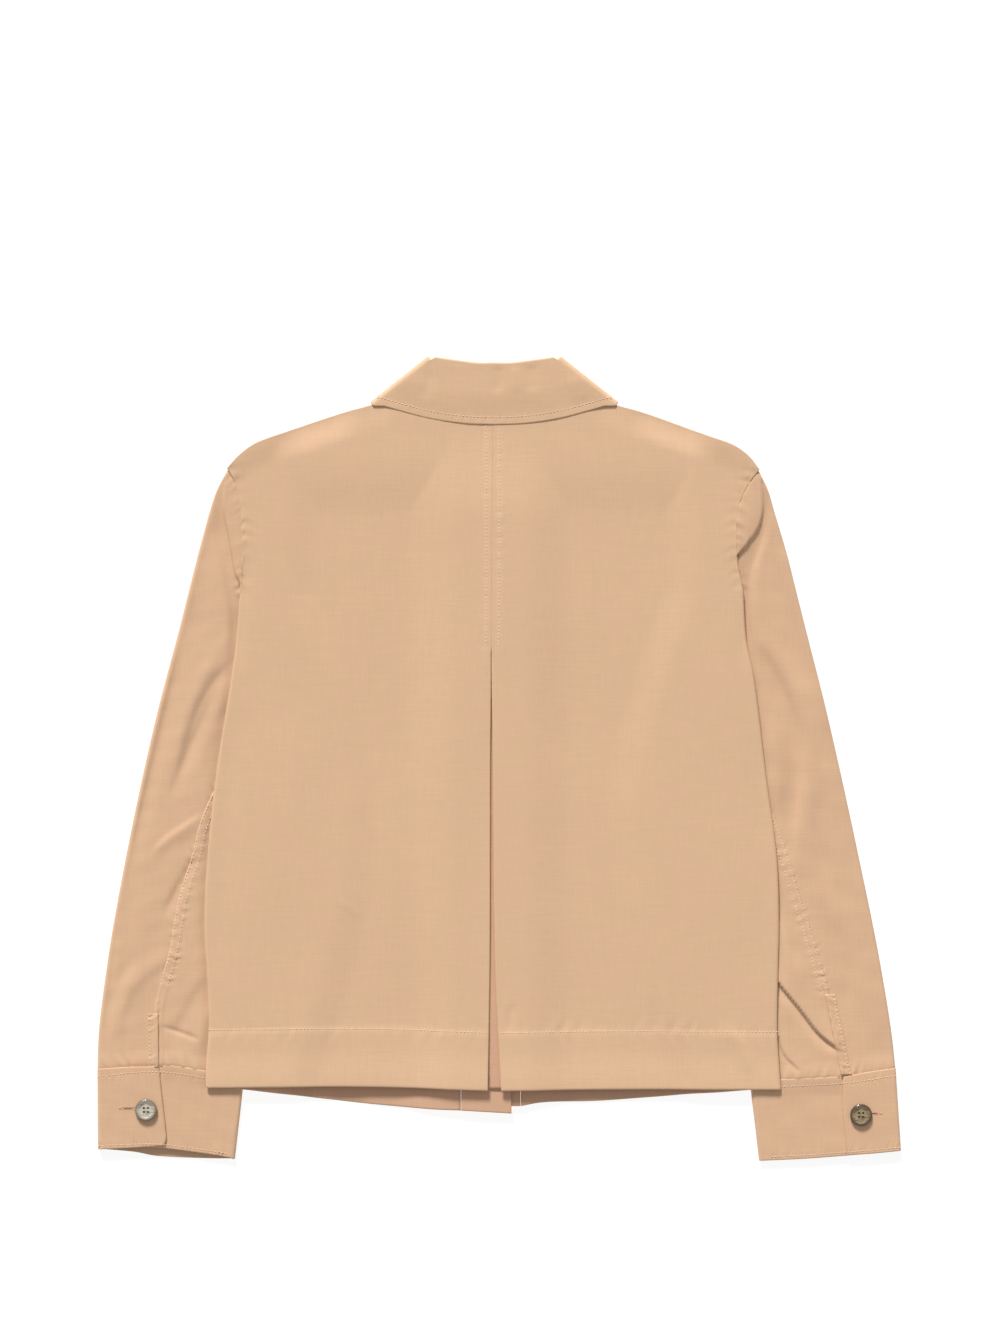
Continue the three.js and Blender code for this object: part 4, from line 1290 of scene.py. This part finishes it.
@dataclass
class Cuff:
    """A doubled cuff, from its underlap round the wrist to the overlap that carries the button."""

    half: Half
    wall: float = 1.2
    underlap_top: float = 5.2
    overlap_top: float = 6.9
    flat: tuple[float, float] = (0.275, 0.07)

    def build(self, room: Workroom) -> HeightMap:
        """Builds the cuff and returns the height of the face that shows."""
        pattern, word = PATTERNS[self.half], self.half.word
        tops = [(x, y + 0.4) for x, y in pattern.sleeve_end]
        corners = [tops[0], tops[-1], pattern.cuff_low[0], pattern.cuff_low[-1]]
        outer_edge = Curve([corners[0], corners[2]])
        inner_edge = Curve([corners[1], corners[3]])
        under = Patch(Curve(tops), Curve(pattern.cuff_low), outer_edge, inner_edge)
        floor = Patch(Curve(tops), Curve([corners[2], *pattern.cuff_under_low[1:-1], corners[3]]), outer_edge, inner_edge)
        lap = Curve(pattern.overlap_edge)
        lap_top, lap_low = lap.at(0.0), lap.at(1.0)
        middle_low = (0.5 * (corners[2][0] + lap_low[0]), 0.5 * (corners[2][1] + lap_low[1]) - 0.4)
        middle_top = (0.5 * (corners[0][0] + lap_top[0]), 0.5 * (corners[0][1] + lap_top[1]) + 0.5)
        over = Patch(
            Curve([corners[0], middle_top, tuple(lap_top)]), Curve([corners[2], middle_low, tuple(lap_low)]), outer_edge, lap,
        )
        outer, inner = [], []
        wander = Wander(120 + self.half.value)
        rows = [[(x, y - 6.0) for x, y in pattern.sleeve_end], [(x, y + 3.2) for x, y in pattern.cuff_low]]
        puckers = [Pucker(row, 0.22, 4.5, 6.5, 125 + number) for number, row in enumerate(rows)]
        for t in edge_shares(52, (0, 0.4, 0.9, 1.5), 70, at_end=True):
            depth = t * 70
            rim = -0.25 * max(0.0, 1 - depth / 0.8) ** 2 - 0.45 * max(0.0, 1 - (70 - depth) / 1.0) ** 2
            lap_share = edge_shares(40, (0, 0.3, 0.7, 1.2), 52)[::-1]
            lap_share = 1 - lap_share
            face = over.at(1 - lap_share, np.full(len(lap_share), t))
            relief = 0.1 * wander.over(face[:, 0], face[:, 1], 22)
            sewn = sum(pucker.lift(face[:, 0], face[:, 1]) for pucker in puckers)
            level = self.overlap_top + relief + rim + sewn
            level = level - 0.45 * np.clip(1 - lap_share * 52 / 0.9, 0, 1) ** 2
            face, level = face[lap_share < 0.955], level[lap_share < 0.955]
            start = face[-1]
            outward = outer_edge.at(t) - start
            angles = np.arange(1, 10) / 10 * math.pi
            radius = (level[-1]) / 2
            turn = start + outward * np.sin(angles)[:, None]
            turn_z = radius + radius * np.cos(angles)
            shares = np.linspace(0.025, 0.975, 46)
            base = floor.at(shares, np.full(46, t))
            base_z = np.full(46, 0.03)
            end_turn = base[-1]
            far = inner_edge.at(t) - end_turn
            lower = self.underlap_top + rim + 1.0 * smooth(-t, -0.25, 0.0)
            back_turn = end_turn + far * np.sin(angles)[:, None]
            back_z = lower / 2 - lower / 2 * np.cos(angles)
            lap_reach = float(np.linalg.norm(lap.at(t) - outer_edge.at(t)) / np.linalg.norm(inner_edge.at(t) - outer_edge.at(t)))
            tail = np.linspace(0.975, max(lap_reach - 0.16, 0.05), 60)
            tail_plan = under.at(tail, np.full(60, t))
            tail_z = lower + 0.12 * wander.over(tail_plan[:, 0], tail_plan[:, 1], 22)
            tail_z = tail_z + sum(pucker.lift(tail_plan[:, 0], tail_plan[:, 1]) for pucker in puckers)
            tucked = 1 - smooth(tail, lap_reach - 0.03, lap_reach + 0.03)
            tail_z = tail_z - tucked * np.maximum(0, tail_z - (self.overlap_top - self.wall - 0.35))
            wall = self.wall
            outer.append(np.vstack([
                np.column_stack([face, level]), np.column_stack([turn, turn_z]), np.column_stack([base, base_z]),
                np.column_stack([back_turn, back_z]), np.column_stack([tail_plan, tail_z]),
            ]))
            shrink = np.sin(angles)[:, None]
            inner.append(np.vstack([
                np.column_stack([face, level - wall]),
                np.column_stack([start + outward * 0.45 * shrink, radius + (radius - wall) * np.cos(angles)]),
                np.column_stack([base, base_z + wall]),
                np.column_stack([end_turn + far * 0.45 * shrink, lower / 2 - (lower / 2 - wall) * np.cos(angles)]),
                np.column_stack([tail_plan, tail_z - wall]),
            ]))
        outer, inner = np.array(outer), np.array(inner)
        worn = seam_wear_and_highlight_along([pattern.cuff_low], outer[..., 0], outer[..., 1], 1.6, 130)
        room.cloth(
            Cloth(f"cuff_{word}", outer, inner, worn), room.finishes.sleeve[self.half], f"cuff_{word}", self.flat,
            share=0.97,
        )
        return HeightMap(outer[:, :34], outer[:, -50:])


@dataclass
class Collar:
    """The turned-down collar: a leaf and a stand, each from one front round the neck to the other."""

    x: float = -4.5
    low: float = 0.0
    high: float = 8.8
    roll: float = 1.5
    leaf_back: tuple = ((0, 340.8, 0, 287.2), (14, 340.7, 26, 288.2), (30, 342.6, 56, 292.6), (45, 344.6, 82, 299.4),
                        (57, 346.6, 107, 306.8))
    leaf_front: tuple = ((57, 346.6, 107, 306.8), (48, 330, 97, 276), (32, 300, 80, 240), (6, 264, 58, 203))
    stand_back: tuple = ((0, 338.2, 0, 307.8), (14, 338.9, 22, 308.2), (30, 341, 44, 310.4), (53, 343.6, 72.5, 316.6))
    stand_front: tuple = ((53, 343.6, 72.5, 316.6), (44, 327, 66, 284), (30, 296, 48, 254), (6, 262, 8, 241))

    def stations(self, back: tuple, front: tuple, low: float, high: float) -> tuple[Array, Array, Array]:
        """The fold's and the edge's points round the neck, and which way the cloth's outer face looks."""
        middle = (low + high) / 2
        radius = (high - low) / 2

        def pairs(table: tuple, sign: int, count: int) -> tuple[Array, Array]:
            shares = np.linspace(0, 1, count)
            folds = Curve([(self.x + sign * row[0], row[1]) for row in table]).at(shares)
            edges = Curve([(self.x + sign * row[2], row[3]) for row in table]).at(shares)
            return folds, edges

        folds, edges, normals = [], [], []

        def add(fold: Array, edge: Array, level: float, normal: Array) -> None:
            folds.append([*fold, level])
            edges.append([*edge, level])
            normals.append(normal)

        for sign in (-1, 1):
            order = []
            fold, edge = (ends[-1] for ends in pairs(back, sign, 2))
            out = np.array([sign * abs(fold[1] - edge[1]), abs(fold[0] - edge[0])])
            out /= np.linalg.norm(out)
            corner, corner_edge = fold, edge

            def clear(pair: tuple[Array, Array]) -> bool:
                apart = min(float((corner - pair[0]) @ out), float((corner_edge - pair[1]) @ out))
                return apart > radius + 0.4

            for fold, edge in filter(clear, list(zip(*pairs(front, sign, 34)))[::-1]):
                order.append((fold, edge, low, np.array([0, 0, -1.0])))
            fold, edge = corner, corner_edge
            for angle in np.radians(np.linspace(-90, 90, 13)):
                shift = out * radius * (math.cos(angle) - 1)
                normal = np.array([*(out * math.cos(angle)), math.sin(angle)])
                order.append((fold + shift, edge + shift, middle + radius * math.sin(angle), normal))
            for fold, edge in filter(clear, list(zip(*pairs(back, sign, 44)))[::-1]):
                order.append((fold, edge, high, np.array([0, 0, 1.0])))
            if sign == 1:
                order = order[-2::-1]
            for entry in order:
                add(*entry)
        return np.array(folds), np.array(edges), np.array(normals)

    def relief(self, x: Array, y: Array) -> Array:
        """The soft dents in the back of the leaf."""
        dents = [
            Crease([(-2, 342), (0, 326), (-1, 312)], -0.5, 4, 5), Crease([(12, 342), (14, 325), (16, 312)], 0.4, 5, 4),
            Crease([(28, 341), (28, 325), (30, 314)], -0.4, 4, 5), Crease([(-60, 336), (-62, 320), (-70, 308)], -0.4, 6, 6),
            Crease([(64, 332), (66, 318), (74, 306)], 0.4, 6, 6),
        ]
        return sum(dent.lift(x, y) for dent in dents) + 0.16 * Wander(140).over(x, y, 34)

    def shell(self, folds: Array, edges: Array, normals: Array, wall: float, rows: int, rolled: bool) -> tuple[Array, Array]:
        """The two faces of a collar piece."""
        ahead = folds - edges
        ahead /= np.linalg.norm(ahead, axis=1, keepdims=True)
        outer, inner = [], []
        radius = self.roll
        if rolled:
            middle = folds - ahead * radius - normals * radius
            for angle in np.radians(np.linspace(-80, 80, 9)):
                way = ahead * math.cos(angle) + normals * math.sin(angle)
                outer.append(middle + way * radius)
                inner.append(middle + way * (radius - wall * 0.8))
        start = folds - ahead * radius if rolled else folds
        for share in edge_shares(rows, (0, 0.5, 1.0, 1.8), 54)[::-1]:
            share = 1 - share
        shares = 1 - edge_shares(rows, (0, 0.35, 0.8, 1.4), 54)[::-1]
        for share in shares:
            face = start + (edges - start) * share
            top = np.clip(normals[:, 2], 0, 1)
            lift = self.relief(face[:, 0], face[:, 1]) * top * smooth(share, 0, 0.12)
            drop = 0.4 * max(0.0, 1 - (1 - share) * 54 / 0.9) ** 2 + 1.15 * smooth(share, 0.45, 1.0) * top
            outer.append(face + normals * (lift - drop)[:, None] if rolled else face)
            skin = wall * (1 - 0.5 * smooth(share, 0.6, 1.0) * top)
            inner.append(outer[-1] - normals * skin[:, None])
        return np.array(outer), np.array(inner)

    def topstitch(self) -> Points:
        """The row of stitches inside the leaf's edge."""
        points = []
        for sign in (-1, 1):
            rows = [(self.x + sign * (row[2] - 0.11 * (row[2] - row[0])), row[3] + 0.12 * (row[1] - row[3])) for row in self.leaf_back]
            points += rows[::-1] if sign < 0 else rows[1:]
        return points

    def build(self, room: Workroom) -> HeightMap:
        """Builds the leaf and the stand."""
        folds, edges, normals = self.stations(self.leaf_back, self.leaf_front, self.low, self.high)
        outer, inner = self.shell(folds, edges, normals, 1.3, 46, True)
        back = normals[:, 2] > 0.99
        line = self.topstitch()
        dent = Pucker(line, 0.22, 4.0, 6.5, 150).lift(outer[..., 0], outer[..., 1]) * np.clip(normals[:, 2], 0, 1)
        outer[..., 2] += dent
        worn = seam_wear_and_highlight_along([line], outer[..., 0], outer[..., 1], 2.0, 160)
        room.cloth(
            Cloth("collar_leaf", outer, inner, worn), room.finishes.body, "collar_leaf", (0.46, 0.075),
            share=0.85,
        )
        folds, edges, normals = self.stations(self.stand_back, self.stand_front, FRONT_ON_COLLAR, STAND_UNDER + CLOTH)
        stand, stand_in = self.shell(folds, edges, normals, 0.9, 14, False)
        room.cloth(
            Cloth("collar_stand", stand, stand_in), room.finishes.inside, "collar_stand", (0.42, 0.034),
            share=0.9,
        )
        return HeightMap(outer[9:, back])


@dataclass
class Button:
    """A four-hole button with a rounded rim, sewn on with two strands."""

    name: str
    x: float
    y: float
    z: float
    finish: bpy.types.Material
    slot: str
    radius: float = 9.5
    depth: float = 3.2
    hole: float = 0.85
    spread: float = 2.35

    def profile(self, out: Array) -> Array:
        """The height of the face at some distances from the middle."""
        places = [0, 4.6, 5.6, 6.6, 7.6, 8.6, 9.1, 9.4, 9.5]
        heights = [0.66, 0.67, 0.74, 0.92, 1.0, 0.97, 0.86, 0.68, 0.45]
        return self.depth * np.interp(out, np.array(places) * self.radius / 9.5, heights)

    def build(self, room: Workroom) -> None:
        """Builds the button and its thread."""
        rings = np.concatenate([np.linspace(0.001, 4.4, 40), np.linspace(4.6, self.radius, 26)])
        angles = np.linspace(0, 2 * math.pi, 145)
        out, turn = np.meshgrid(rings, angles, indexing="ij")
        x, y = out * np.cos(turn), out * np.sin(turn)
        z = self.profile(out)
        # How far each place lies in a hole, which the finish paints near black as shade.
        pit = np.zeros_like(z)
        for number in range(4):
            way = math.pi / 4 + number * math.pi / 2
            apart = np.hypot(x - self.spread * math.cos(way), y - self.spread * math.sin(way))
            sunk = 1 - smooth(apart, self.hole - 0.12, self.hole + 0.16)
            z = z - (0.62 * self.depth - 0.25) * sunk
            pit = np.maximum(pit, sunk)
        face = np.dstack([x, y, z])
        wall = np.dstack([x[-1:] * 0.93, y[-1:] * 0.93, np.zeros_like(z[-1:])])
        floor = np.dstack([x[:1], y[:1], np.zeros_like(z[:1])])
        outer = np.concatenate([face, wall, floor])
        rows, columns = outer.shape[:2]
        index = np.arange(rows * columns).reshape(rows, columns)
        quads = np.stack([index[:-1, :-1], index[1:, :-1], index[1:, 1:], index[:-1, 1:]], axis=-1).reshape(-1, 4)
        mesh = bpy.data.meshes.new(self.name)
        place = (outer.reshape(-1, 3) + (self.x, self.y, self.z)) * MM + np.array(room.origin)
        mesh.from_pydata(place.tolist(), [], quads.tolist())
        mesh.polygons.foreach_set("use_smooth", [True] * len(quads))
        mesh.update()
        painted_hole_shades = np.concatenate([pit.ravel(), np.zeros(2 * columns)])
        mesh.attributes.new("pit", "FLOAT", "POINT").data.foreach_set("value", painted_hole_shades.astype(np.float32))
        room.place(f"{self.name}_turned", mesh, self.finish, self.slot, self.name)
        strands = []
        for side in (-1, 1):
            reach = self.spread * math.sqrt(0.5)
            for shift in (-0.24, 0.24):
                points = [(self.x - reach, self.y + side * reach + shift), (self.x + reach, self.y + side * reach + shift)]
                strands.append(StitchLine(points, pitch=2 * reach, length=2 * reach - 0.4, radius=0.25))
        level = self.z + 0.3 * self.depth

        def flat(x: Array, y: Array) -> Array:
            return np.full(np.shape(x), level + 0.05)

        Seams(room, f"{self.name}_thread").sew(strands, flat)


@dataclass
class Seams:
    """Sewing that is joined into one mesh."""

    room: Workroom
    name: str
    material: bpy.types.Material | None = None

    def sew(self, lines: list[StitchLine], height: "HeightMap") -> None:
        """Lays the rows of stitches.

        Args:
            lines: The rows.
            height: The cloth's height at a place.
        """
        points, quads, total = [], [], 0
        for line in lines:
            more, faces = line.lay(height)
            points.append(more)
            quads.append(faces + total)
            total += len(more)
        mesh = bpy.data.meshes.new(self.name)
        place = np.vstack(points) * MM + np.array(self.room.origin)
        mesh.from_pydata(place.tolist(), [], np.vstack(quads).tolist())
        mesh.polygons.foreach_set("use_smooth", [True] * len(mesh.polygons))
        mesh.update()
        self.room.place(self.name, mesh, self.material or self.room.finishes.thread, "cotton")


@dataclass
class Buttonhole:
    """A worked buttonhole with a bar tack at its end."""

    x: float
    y: float
    length: float = 11.5
    toward: int = 1

    def rows(self) -> list[StitchLine]:
        """The bars across both lips and the tack."""
        bars = []
        count = int(self.length / 0.62)
        for number in range(count):
            at = self.x + self.toward * self.length * (number + 0.5) / count
            for side in (-1, 1):
                bars.append(self.bar(at, self.y + side * 0.3, at, self.y + side * 1.35))
        for number in range(5):
            at = self.x - self.toward * (0.2 + 0.45 * number)
            bars.append(self.bar(at, self.y - 1.6, at, self.y + 1.6))
        return bars

    def slit_shadow(self) -> StitchLine:
        """The painted shadow in the slit between the lips, laid as a dark thread."""
        return self.bar(self.x, self.y, self.x + self.toward * self.length, self.y)

    @staticmethod
    def bar(x1: float, y1: float, x2: float, y2: float) -> StitchLine:
        """One bar of thread."""
        run = math.hypot(x2 - x1, y2 - y1)
        return StitchLine([(x1, y1), (x2, y2)], pitch=run, length=run, radius=0.26)


@dataclass
class Studio:
    """The white table, the soft light and the camera that looks straight down."""

    horizon: float = 40.0
    lens: float = 85.0
    camera_at: tuple[float, float, float] = (0.0004, 0.0787, 2.717)

    def build(self, room: Workroom) -> None:
        """Builds the table, the lights and the camera."""
        white = {
            "Base Color": (0.22, 0.22, 0.22, 1), "Roughness": 0.9, "Specular IOR Level": 0.05,
            "Emission Color": (1, 1, 1, 1), "Emission Strength": 0.86,
        }
        shader = Shader("table_white", white)
        mesh = bpy.data.meshes.new("table")
        reach = self.horizon
        mesh.from_pydata([(-reach, -reach, -0.0002), (reach, -reach, -0.0002), (reach, reach, -0.0002),
                          (-reach, reach, -0.0002)], [], [(0, 1, 2, 3)])
        mesh.materials.append(shader.material)
        floor = bpy.data.objects.new("table", mesh)
        bpy.context.scene.collection.objects.link(floor)
        self.light("key", (-0.35, 1.5, 0.8), 13, 4.1, (1.0, 0.99, 0.975))
        world = bpy.data.worlds.new("studio")
        world.use_nodes = True
        background = world.node_tree.nodes["Background"]
        background.inputs["Color"].default_value = (1, 1, 1, 1)
        background.inputs["Strength"].default_value = 0.42
        bpy.context.scene.world = world
        data = bpy.data.cameras.new("camera")
        data.lens, data.sensor_width, data.clip_end = self.lens, 36.0, 80.0
        camera = bpy.data.objects.new("camera", data)
        camera.location = Vector(self.camera_at) + room.origin
        bpy.context.scene.collection.objects.link(camera)
        bpy.context.scene.camera = camera
        bpy.context.scene.view_settings.view_transform = "Standard"

    @staticmethod
    def light(name: str, way: tuple[float, float, float], softness: float, power: float, tint: Colour) -> None:
        """Adds a distant light.

        Args:
            name: The light's name.
            way: The direction that it comes from.
            softness: How wide it looks, in degrees.
            power: Its strength.
            tint: Its colour.
        """
        data = bpy.data.lights.new(name, "SUN")
        data.angle, data.energy, data.color = math.radians(softness), power, tint
        lamp = bpy.data.objects.new(name, data)
        lamp.location = way
        lamp.rotation_euler = (-Vector(way)).to_track_quat("-Z", "Y").to_euler()
        bpy.context.scene.collection.objects.link(lamp)


def corner_of(box: tuple, axis: int) -> float:
    """The lower corner of a node's box along an axis."""
    return float(box[0][axis])


def main() -> None:
    """Builds the overshirt, piece by piece, and the studio round it."""
    logging.basicConfig(level=logging.INFO, format="%(name)s: %(message)s")
    origin = Vector((corner_of(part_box("placket_left"), 0) + 33.1 * MM, 0, 0))
    room = Workroom(Finishes(), origin)
    PleatUnderlay().build(room)
    for half in Half:
        pattern, sign = PATTERNS[half], half.value
        FrontBand(half).build(room)
        Front(half).build(room)
        back = BackHalf(half)
        on_back = back.build(room)
        Seams(room, f"back_{half.word}_stitches").sew([StitchLine(line) for line in back.seams], on_back)
        sleeve = Sleeve(half)
        on_sleeve = sleeve.build(room)
        on_facing = SleevePlacket(half).build(room, on_sleeve)
        facing_row = [(x + sign * 7.6, y) for x, y in pattern.opening]
        Seams(room, f"sleeve_{half.word}_stitches").sew([StitchLine(line) for line in sleeve.rows_of_stitches()], on_sleeve)
        Seams(room, f"facing_{half.word}_stitches").sew([StitchLine(facing_row)], on_facing)
        on_cuff = Cuff(half).build(room)
        top_row = [(x, y - 6.0) for x, y in pattern.sleeve_end]
        hole = Buttonhole(*pattern.buttonhole, toward=-sign)
        low_row = [(x, y + 3.2) for x, y in pattern.cuff_low]
        Seams(room, f"cuff_{half.word}_stitches").sew([StitchLine(top_row), StitchLine(low_row)], on_cuff)
        Seams(room, f"buttonhole_{half.word}", room.finishes.tack).sew(hole.rows(), on_cuff)
        # The slit's painted shadow, a dark thread between the lips.
        Seams(room, f"buttonhole_{half.word}_slit", room.finishes.slit_shadow).sew([hole.slit_shadow()], on_cuff)
    collar = Collar()
    on_collar = collar.build(room)
    Seams(room, "collar_stitches").sew([StitchLine(collar.topstitch())], on_collar)
    pale = Horn(
        "button_pale", tuple(origin + Vector((-304 * MM, -302.3 * MM, 9 * MM))), (0.62, 0.57, 0.47), (0.36, 0.32, 0.25),
        (0.20, 0.16, 0.12),
    )
    brown = Horn(
        "button_brown", tuple(origin + Vector((310.9 * MM, -306.6 * MM, 9 * MM))), (0.36, 0.27, 0.15),
        (0.14, 0.095, 0.05), (0.07, 0.045, 0.025),
    )
    Button("cuff_button_left", -304, -302.3, 7.2, pale.material(), "pearl_button").build(room)
    Button("cuff_button_right", 310.9, -306.6, 7.2, brown.material(), "horn_button").build(room)
    hidden = Horn("button_front", tuple(origin), (0.36, 0.27, 0.15), (0.14, 0.095, 0.05), (0.2, 0.14, 0.08), 900).material()
    for name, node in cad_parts.items():
        if name.startswith("front_button"):
            node.material_slots[0].material = hidden
    Studio().build(room)


if __name__ == "__main__":
    main()
